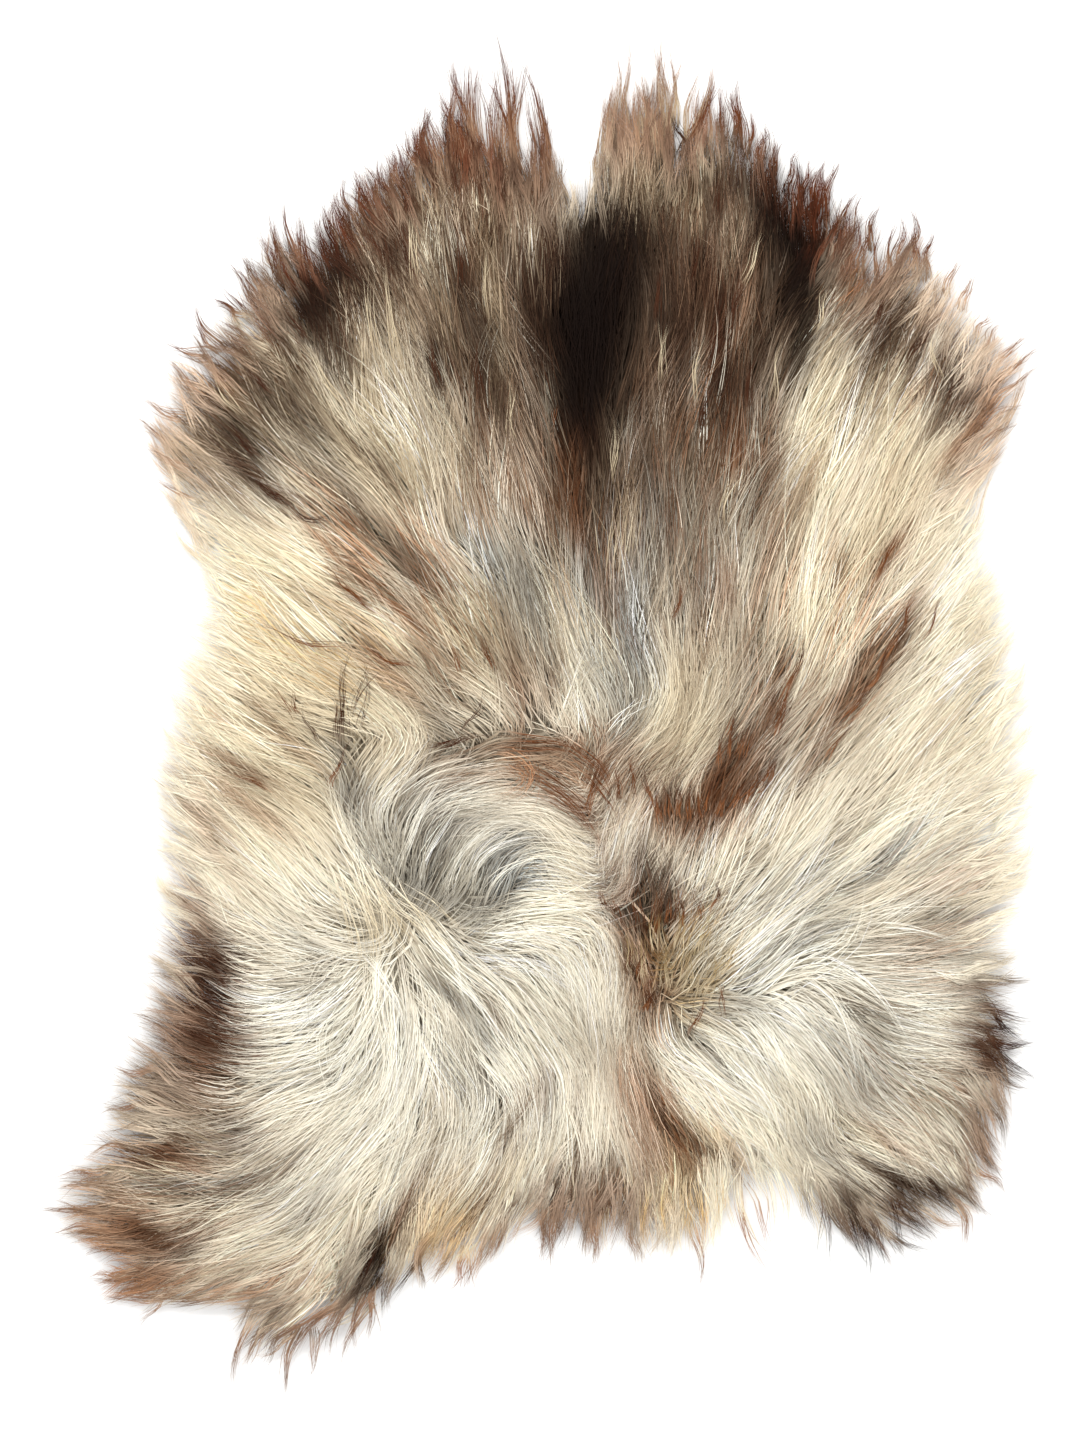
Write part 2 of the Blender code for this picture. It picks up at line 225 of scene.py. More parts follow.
# Tufts that the eye picks out one by one: root x, y, tip x, y, bow, width, hairs
TUFTS = (
    *tufts(Tone.DRAB, Tone.OATMEAL, (-106,246,-123,358,4,7,7), (-128,262,-137,350,3,7,5),
        (-150,225,-192,292,-4,9,7), (216,290,231,340,3,6,5), (182,232,189,296,2,5,4),
        (322,256,311,302,3,6,5), (-96,330,-104,400,3,8,7), (-40,300,-44,368,3,8,6), (96,250,100,312,2,7,6),
        (122,235,128,300,2,7,6), (160,330,176,384,3,7,6), (-20,200,-26,262,2,8,6), (60,170,58,232,2,8,6),
        (140,140,152,200,2,8,6), (-230,232,-262,268,3,8,6)),
    *tufts(Tone.CREAM, Tone.OATMEAL, (146,-346,160,-424,-6,14,8), (156,-344,176,-436,-6,14,8),
        (168,-346,186,-420,5,14,8), (180,-350,198,-408,4,12,7), (192,-352,212,-416,4,12,7),
        (206,-360,222,-428,4,12,7)),
    *tufts(Tone.BUTTER, Tone.HONEY, (110,-350,112,-418,4,14,9), (120,-352,128,-424,4,14,9),
        (100,-352,100,-420,-4,14,9), (134,-352,142,-404,4,14,8), (86,-356,84,-424,-4,12,8)),
    *tufts(Tone.FAWN, Tone.MAUVE, (-130,-448,-138,-500,-4,8,12), (-134,-450,-150,-508,-6,8,12),
        (-138,-452,-170,-514,-8,8,12), (-141,-454,-184,-520,-9,8,12), (-143,-458,-198,-512,-8,8,12),
        (-146,-462,-212,-518,-6,7,10), (-150,-470,-225,-508,-6,7,10), (-136,-470,-160,-516,-4,8,10)),
    *tufts(Tone.TAUPE, Tone.RUST, (-60,420,-86,508,-4,14,8), (-72,420,-100,492,-4,14,8),
        (-50,420,-68,514,4,14,8), (-38,420,-54,508,-6,14,8), (-30,420,-36,512,6,14,8),
        (-20,420,-30,506,5,14,8), (-10,415,-14,504,-5,14,8), (0,410,-6,494,5,14,8), (6,410,2,474,3,12,8),
        (-44,440,-62,540,8,10,5), (-32,440,-30,535,-8,10,5), (-18,440,-8,530,8,10,5),
        (256,345,266,402,3,10,10), (276,345,284,398,3,10,10), (284,350,292,402,3,10,10),
        (244,365,250,408,3,10,10)),
    *tufts(Tone.BARK, Tone.RUST, (-84,425,-104,468,2,10,12), (-100,415,-118,460,2,10,12),
        (-118,405,-134,448,2,10,12), (-132,395,-150,436,2,10,12), (-150,380,-166,420,3,10,12),
        (-160,375,-176,412,3,8,12), (-198,335,-226,390,3,12,12), (-215,325,-250,362,3,12,10),
        (-228,315,-256,344,2,10,8), (-176,340,-192,392,3,12,14), (-186,325,-212,376,3,12,14),
        (-166,355,-180,404,3,12,14)),
    *tufts(Tone.CREAM, Tone.OATMEAL, (-172,-96,-142,-186,6,40,12), (-160,-104,-124,-194,5,40,14),
        (-148,-112,-104,-190,4,40,14), (-138,-122,-84,-186,3,36,12), (-124,-138,-62,-184,2,32,10),
        (-150,-136,-134,-206,4,36,12)),
    *tufts(Tone.SLATE, Tone.ASH, (-120,-160,-100,-84,-8,30,18), (-108,-166,-78,-94,-10,30,18),
        (-96,-168,-60,-102,-12,28,16), (-84,-172,-44,-110,-12,26,14), (-126,-150,-118,-76,-6,28,16),
        (-70,-176,-26,-126,-10,24,12), (-134,-140,-140,-62,-6,28,16)),
    *tufts(Tone.TAUPE, Tone.MAUVE, (56,435,56,500,3,10,16), (66,435,66,505,3,10,16), (76,435,78,508,3,10,16),
        (86,435,88,512,3,10,16), (96,435,98,520,3,10,16), (104,440,106,508,2,9,12), (124,445,126,505,3,9,12),
        (134,445,140,505,3,9,12)),
    *tufts(Tone.TAUPE, Tone.RUST, (-58,436,-76,530,-3,9,12), (-66,440,-70,528,3,5,8),
        (-70,440,-86,509,-4,8,10), (-52,445,-57,529,3,7,8), (-42,430,-46,528,10,8,12),
        (-26,420,-38,547,-7,9,14), (-34,430,-41,540,-3,6,8), (-22,425,-47,512,-9,8,10),
        (-16,430,-16,525,8,7,12), (2,420,-17,524,-7,9,12), (4,425,-7,516,-4,6,8), (2,415,5,484,2,9,10),
        (10,412,8,478,3,8,8), (-82,430,-94,492,2,8,9), (-90,428,-106,474,2,8,9), (-98,425,-113,470,-2,7,10),
        (-110,420,-120,453,2,8,9), (-118,410,-127,455,-2,8,9), (-128,400,-142,443,-2,9,12),
        (-138,390,-148,438,2,9,10), (-144,385,-161,436,3,9,12), (-185,345,-196,407,3,8,12),
        (-190,345,-208,417,2,9,12), (-198,340,-220,411,3,8,10), (-205,340,-214,396,2,7,9),
        (-212,330,-242,373,3,8,9), (-232,320,-264,335,3,7,12), (-240,310,-262,334,-2,6,8),
        (-252,292,-280,329,3,7,8), (-258,290,-278,314,2,6,8), (-265,285,-302,298,3,8,9),
        (236,380,252,418,3,8,10), (248,380,258,421,3,6,7), (262,372,271,411,4,7,10),
        (290,362,297,409,-5,7,10), (300,348,300,392,3,9,14), (308,348,312,392,2,8,12),
        (250,350,258,396,3,7,10), (268,345,272,392,4,6,8)),
    *tufts(Tone.FAWN, Tone.MAUVE, (322,335,336,366,3,8,9), (334,325,348,353,2,8,9), (345,300,360,322,2,8,9),
        (350,285,370,314,3,8,10), (358,275,392,304,3,8,10), (362,262,402,295,3,7,8), (352,240,402,279,4,7,8),
        (345,225,387,250,3,8,9), (340,205,384,236,3,8,8), (330,180,374,214,2,8,8), (-262,250,-303,286,2,8,8),
        (-275,235,-322,253,2,8,10), (-280,212,-328,240,2,8,10), (-275,195,-318,215,2,7,8),
        (-270,170,-310,190,2,7,8), (-300,-280,-345,-283,3,8,9), (-310,-310,-353,-318,-3,8,9),
        (-340,-360,-390,-368,3,9,10), (-350,-392,-404,-394,3,9,12), (-345,-410,-392,-414,-3,8,9),
        (-335,-425,-366,-431,-3,8,8), (-320,-445,-362,-451,3,8,9), (-310,-452,-353,-469,3,8,9),
        (-300,-455,-326,-492,3,6,7), (-225,-470,-248,-538,-5,9,12), (-215,-480,-236,-520,-3,8,9),
        (-195,-490,-206,-544,-4,9,12), (-182,-490,-186,-530,3,8,9), (-60,-425,-63,-463,3,8,8),
        (-2,-385,-3,-441,3,8,9), (10,-385,8,-440,-2,8,8), (38,-390,41,-441,3,9,10), (70,-395,80,-442,-3,9,9),
        (118,-400,128,-459,3,8,9), (340,-360,371,-384,3,8,9), (330,-385,341,-427,3,8,9)),
    *tufts(Tone.DRAB, Tone.MAUVE, (58,440,60,512,4,9,12), (62,450,63,538,3,6,9), (70,450,70,539,2,6,9),
        (76,450,74,510,-3,8,10), (84,450,84,525,2,7,9), (98,440,90,546,-5,9,14), (100,450,95,548,3,6,9),
        (102,455,102,540,-3,6,8), (92,440,91,515,3,7,9), (50,430,52,500,3,8,9), (44,420,46,466,2,8,9),
        (108,470,112,534,3,4,4), (114,455,137,528,-5,6,9), (118,440,128,522,6,6,8)),
    *tufts(Tone.CHESTNUT, Tone.RUST, (112,448,134,502,-3,9,14), (130,450,138,512,3,8,12),
        (145,450,144,508,3,8,12), (152,455,151,506,-2,8,10), (160,450,158,514,2,7,12),
        (164,445,167,488,-2,8,10), (172,430,180,470,2,8,12), (185,425,191,463,2,8,10),
        (196,415,207,454,2,8,12), (206,405,216,444,2,8,12), (216,400,226,446,2,8,12),
        (226,395,240,450,3,8,14)),
    *tufts(Tone.BARK, Tone.UMBER, (120,440,101,482,-2,8,12), (222,-370,228,-446,5,12,6),
        (236,-375,264,-456,7,14,7), (244,-380,262,-440,-5,12,7), (262,-370,288,-428,6,12,8),
        (282,-372,306,-418,-5,12,8), (300,-370,330,-400,6,10,7), (252,-385,276,-446,4,10,6),
        (292,-362,322,-394,6,10,8), (-125,-410,-150,-478,-4,9,14), (345,-235,396,-293,-6,9,12),
        (350,-225,388,-262,-4,9,12)),
    *tufts(Tone.CLAY, Tone.CLAY, (158,-372,184,-450,-8,12,6), (166,-376,178,-430,5,10,5),
        (-62,-425,-72,-462,2,7,8)),
    *tufts(Tone.BARK, Tone.BARK, (-160,-40,-154,56,3,9,9), (-163,-35,-168,22,-4,7,5),
        (-152,-10,-134,46,3,6,6), (-157,-35,-156,32,2,8,6), (-68,-18,-42,20,-2,3,5),
        (-102,-29,-50,-18,2,4,5), (-95,-33,-38,-14,2,4,4), (-148,-20,-140,44,-4,8,6),
        (-172,-30,-190,10,4,8,5)),
    *tufts(Tone.CLAY, Tone.BARK, (92,-80,81,-38,3,7,8), (104,-88,97,-48,2,7,7), (111,-88,106,-47,1,7,6),
        (119,-92,117,-50,1,6,8), (150,-42,153,1,2,7,8), (156,-42,171,-1,3,8,9), (172,-62,186,-24,-3,7,9),
        (163,-62,184,-46,2,8,8), (185,0,208,72,-4,7,10), (100,-172,101,-134,1,5,7),
        (126,-168,122,-137,1,5,6), (133,-162,138,-128,-3,5,7), (-170,-70,-150,-20,4,8,5),
        (36,-90,50,-30,3,7,8), (140,-50,146,-6,3,8,8), (128,-84,138,-48,2,8,8), (136,-86,152,-52,2,8,8),
        (146,-80,166,-50,2,8,8), (156,-78,178,-44,2,8,8), (98,-92,90,-52,2,7,7), (112,-170,112,-142,2,5,7),
        (92,-178,96,-146,2,6,7), (80,-240,92,-216,2,6,7), (76,-215,82,-186,2,6,7), (142,-30,160,12,3,6,6),
        (176,-30,200,20,-3,6,6), (232,-12,262,34,-3,7,7), (248,8,280,62,-3,8,8), (262,30,292,88,-3,7,7),
        (218,-46,246,2,-3,6,5)),
    *tufts(Tone.BARK, Tone.BARK, (-95,330,-112,396,3,8,9), (-60,330,-66,388,2,7,8), (-80,400,-92,446,2,7,9),
        (-62,405,-74,452,2,7,9), (-45,400,-52,448,2,7,9), (-28,395,-34,440,2,7,9), (-140,355,-158,418,3,7,9),
        (-150,340,-176,396,3,8,9), (-100,385,-114,432,2,7,8), (-118,350,-130,408,2,8,9),
        (-180,290,-206,330,3,6,7), (-205,250,-240,282,3,6,7), (-215,200,-255,240,4,8,9),
        (-190,160,-232,196,4,6,8), (-160,152,-212,172,4,5,7), (120,330,126,392,2,8,9),
        (140,380,144,440,2,7,9), (92,300,96,360,2,7,8), (150,300,162,356,2,7,8), (160,230,170,285,2,8,8),
        (128,215,134,268,2,7,8), (-45,240,-52,300,2,7,8), (-78,250,-88,304,2,6,8), (262,300,280,342,3,7,8),
        (288,272,312,312,3,7,8), (318,240,342,276,3,7,8)),
    *tufts(Tone.CHESTNUT, Tone.CHESTNUT, (-195,-10,-217,27,-3,2,5), (-188,-5,-200,20,2,2,4),
        (64,-76,59,-37,2,4,7), (76,-72,70,-30,2,4,6), (178,-20,197,34,-3,5,12), (126,-88,125,-54,2,4,5),
        (-140,54,-228,74,6,8,5), (-92,36,-150,57,3,5,10), (-125,76,-173,121,3,4,12), (-60,25,-72,60,2,3,5),
        (-35,30,-48,66,2,4,7), (262,98,288,148,2,4,10), (284,58,300,102,2,3,6), (300,48,322,96,2,2,5),
        (116,-262,132,-222,2,3,7), (140,-208,145,-242,1,2,5), (-205,-62,-252,-40,3,4,9),
        (-52,-22,44,-40,12,18,12), (10,-18,58,-64,8,18,10), (-22,-44,50,-108,10,18,10),
        (-34,-36,52,-86,9,18,10), (20,-36,64,-92,6,16,8), (104,66,112,112,1,2,6), (10,250,8,220,1,2,3)),
    *tufts(Tone.OATMEAL, Tone.OCHRE, (84,-222,80,-176,3,16,9), (96,-228,98,-180,-3,16,9),
        (108,-230,116,-182,-4,16,9), (122,-230,138,-188,-4,16,9), (92,-196,92,-154,3,16,9),
        (106,-196,110,-156,-3,16,9), (120,-198,132,-160,-3,16,8), (134,-212,152,-178,-4,16,8),
        (76,-212,68,-172,3,14,8)),
    *tufts(Tone.UMBER, Tone.BARK, (206,366,214,430,3,22,16), (216,360,226,422,3,22,16),
        (196,374,202,438,3,22,16), (226,354,238,412,3,22,14), (186,384,190,446,3,20,14),
        (172,394,176,452,2,20,14), (158,402,160,462,2,18,12)),
    *tufts(Tone.BARK, Tone.CHESTNUT, (78,-178,74,-134,3,16,10), (68,-174,58,-138,4,16,10),
        (90,-174,92,-134,-3,16,9), (76,-210,70,-182,3,10,8), (88,-236,88,-208,3,12,8),
        (102,-170,108,-136,-3,14,7), (60,-160,46,-134,4,14,8)),
    *tufts(Tone.IVORY, Tone.IVORY, (-58,-152,2,-98,22,12,7), (-50,-162,12,-112,18,12,7),
        (-100,-152,-58,-62,10,12,8), (-118,-142,-78,-50,8,12,8), (-76,-162,-36,-84,14,12,8),
        (-116,-182,-128,-252,-9,12,9), (-110,-150,-58,-232,6,12,9), (-90,-188,-28,-262,6,12,9),
        (-150,-185,-108,-262,10,12,9), (160,-210,215,-150,-6,12,9), (200,-190,292,-262,16,12,9),
        (190,-200,250,-290,20,12,9), (130,-258,192,-330,6,12,9), (48,-24,92,14,5,16,5),
        (250,-170,330,-180,5,10,6)),
)

# Where some locks take another colour: x, y, length, width, heading, strength in percent
BRINDLES = (
    *marks(Tone.RUST, (-60,470,95,55,0,45), (-160,400,70,40,40,45), (225,410,50,40,70,30)),
    *marks(Tone.BARK, (-60,400,110,60,0,35), (-150,240,80,50,120,20), (-300,-260,60,60,0,35),
        (80,-150,60,45,90,40)),
    *marks(Tone.OATMEAL, (-60,380,90,60,0,18), (-220,220,90,60,140,25), (-70,260,80,40,97,20),
        (10,120,110,90,95,25), (-300,-380,110,90,0,25)),
    *marks(Tone.UMBER, (-160,340,70,50,40,35), (-60,290,110,55,97,35), (100,430,90,60,90,30),
        (130,300,110,55,85,45), (300,300,80,50,140,30), (280,-370,90,45,140,30)),
    *marks(Tone.CLAY, (-240,300,70,45,50,30), (280,370,60,40,60,35), (355,270,60,50,60,25),
        (-120,120,100,45,140,30), (220,60,110,60,60,25), (0,-40,80,30,0,40), (-180,-450,80,60,0,25),
        (100,-320,60,40,130,30)),
    *marks(Tone.CHARCOAL, (-230,230,90,55,140,35)),
    *marks(Tone.TAUPE, (120,420,80,50,90,25), (140,300,100,55,85,20)),
    *marks(Tone.CHESTNUT, (0,170,110,90,95,30), (145,180,90,60,82,40), (-60,30,70,35,130,15),
        (150,-50,80,40,60,35), (-300,-380,110,70,0,30), (40,-400,160,45,0,30)),
    *marks(Tone.ASH, (140,200,130,70,82,22), (-60,300,110,50,97,22), (-105,-245,140,125,0,20),
        (240,-190,150,120,0,20)),
    *marks(Tone.SLATE, (50,110,90,70,92,25), (-120,-250,150,120,0,14), (240,-200,150,120,0,14)),
    *marks(Tone.HONEY, (-200,70,90,50,155,20), (120,-190,50,40,75,30)),
    *marks(Tone.BUTTER, (40,-400,160,50,0,25)),
    *marks(Tone.BLUSH, (330,-150,90,60,90,30)),
    *marks(Tone.MAUVE, (340,-330,50,60,0,35)),
    *marks(Tone.IVORY, (310,290,70,40,140,30), (240,240,70,40,72,25), (220,60,100,60,60,25),
        (-105,-262,140,125,0,40), (-90,-90,90,50,30,25), (240,-200,150,120,0,35)),
)

# Where some locks have dark tips, with the same columns
TIPPED = (
    *marks(Tone.RUST, (-60,460,110,60,0,50), (-150,400,90,50,40,50), (-240,320,70,45,50,35)),
    *marks(Tone.BARK, (-60,380,130,70,0,40), (-150,300,120,70,120,35), (100,420,90,80,90,45),
        (-230,220,90,70,140,40), (300,300,90,60,140,45), (-300,-360,120,110,0,30), (150,-40,90,50,50,20),
        (240,30,90,40,52,15), (290,-360,90,60,140,35)),
    *marks(Tone.UMBER, (130,290,110,90,85,40), (-40,280,110,60,97,35), (60,170,80,90,90,30)),
    *marks(Tone.CHESTNUT, (120,120,120,90,80,30), (-130,100,120,60,140,30), (290,380,90,50,0,40),
        (20,-400,80,50,0,30), (100,-150,60,70,80,20), (-190,-470,100,50,30,30)),
    *marks(Tone.CLAY, (-230,20,100,80,150,15), (230,110,120,60,60,15), (300,-280,120,90,0,12)),
    *marks(Tone.SLATE, (-100,-260,180,120,0,14), (220,-210,150,110,0,14)),
)

# The undercoat's colours, with the same columns
UNDERS = (
    *marks(Tone.ASH, (0,-150,260,160,0,80), (-160,-230,150,110,0,70), (230,-200,150,110,0,80)),
    *marks(Tone.SLATE, (-40,-115,90,60,0,100), (0,100,130,110,90,75)),
    *marks(Tone.BARK, (0,300,160,110,90,80), (110,290,130,100,90,80)),
    *marks(Tone.DRAB, (-100,370,90,80,100,80)),
    *marks(Tone.KHAKI, (80,420,60,60,90,80)),
    *marks(Tone.BUTTER, (-240,60,130,80,90,90), (250,170,110,80,90,80)),
    *marks(Tone.BLUSH, (-40,470,90,70,0,90), (300,350,90,60,130,90), (-250,300,90,50,50,80)),
    *marks(Tone.OATMEAL, (-300,-370,110,90,0,80)),
    *marks(Tone.IVORY, (370,0,260,50,90,90)),
    *marks(Tone.HONEY, (50,-400,160,50,0,70)),
    *marks(Tone.SOOT, (30,310,110,55,92,100), (200,370,90,34,80,90), (-180,340,50,30,118,90)),
    *marks(Tone.BARK, (-265,-225,70,30,95,80)),
)

# The lie of the wool: x, y, heading, spread
COMBINGS = tuple(
    Combing(*row)
    for row in (
        (30,400,90,50), (-40,450,97,50), (100,450,88,50), (-150,400,112,50), (-200,350,120,50),
        (-260,300,138,50), (-290,220,135,50), (-250,200,140,50), (-200,150,150,50), (-230,50,152,50),
        (-250,0,145,50), (-270,-60,150,50), (-220,-100,140,45), (-170,-125,135,30), (-120,300,105,55),
        (-60,200,103,50), (-120,180,128,45), (0,100,107,45), (50,100,95,45), (100,100,85,45),
        (150,200,80,50), (200,100,75,45), (250,200,68,50), (300,250,60,50), (340,300,57,45), (350,200,50,45),
        (300,100,55,45), (350,50,45,45), (300,0,50,45), (350,-50,35,45), (250,-50,48,40), (200,-50,55,35),
        (110,-60,80,30), (150,-50,65,30), (50,20,110,40), (-60,100,125,40), (-100,50,140,40),
        (-60,20,120,30), (85,-120,82,24), (140,-110,62,28), (120,-180,62,24), (300,-100,35,45),
        (350,-130,22,45), (200,-140,42,35), (250,-170,20,40), (350,-200,7,45), (170,-195,40,30),
        (300,-230,-3,40), (370,-260,-15,40), (250,-250,-25,40), (200,-270,-40,35), (160,-280,-45,30),
        (300,-300,-25,40), (350,-330,-65,40), (280,-370,-35,35), (320,-390,-40,35), (250,-410,-60,30),
        (130,-330,-45,30), (100,-380,-85,35), (50,-400,-95,40), (0,-350,-105,40), (-50,-400,-118,40),
        (-100,-400,-110,35), (-130,-440,-107,35), (-180,-500,-130,40), (-250,-440,-157,40),
        (-330,-460,-165,40), (-350,-400,180,45), (-330,-350,170,45), (-300,-300,155,45), (-270,-240,155,40),
        (-200,-250,-168,40), (-200,-300,-160,40), (-150,-350,-135,40), (-120,-280,-100,35),
        (-60,-250,-65,35), (0,-240,-50,35), (50,-320,-80,35), (-160,-180,172,28), (-128,-124,126,14),
        (-142,-104,124,14), (-106,-126,92,13), (-100,-166,-42,12), (-76,-178,-40,15), (-130,-210,-105,24),
        (-85,-200,-40,26), (-150,-90,95,24), (-115,-60,52,24), (-60,-50,15,24), (-20,-65,-15,24),
        (15,-95,-50,24), (-85,-115,72,20), (-50,-125,66,18), (-30,-95,30,18), (0,-120,10,18),
        (20,-150,-12,22), (58,-185,-75,22), (-40,-180,8,22), (-50,-205,-30,24), (60,-230,-95,24),
        (60,-70,60,24), (2,-30,-10,16), (-60,-12,140,20), (-25,-2,112,16), (0,8,96,16), (28,8,98,16),
        (50,-2,100,14), (-30,-36,2,14), (25,-52,-38,16), (45,-62,74,12), (70,14,60,14), (90,-38,12,16),
        (125,-36,32,14), (60,-18,28,14), (85,0,48,18), (62,35,112,20), (90,-90,86,20), (215,-165,6,22),
        (240,-215,-22,22), (262,-245,-62,16), (248,-282,-84,18), (218,-262,-68,18), (212,-310,-88,18),
        (300,-262,-4,22), (145,-225,12,16),
    )
)

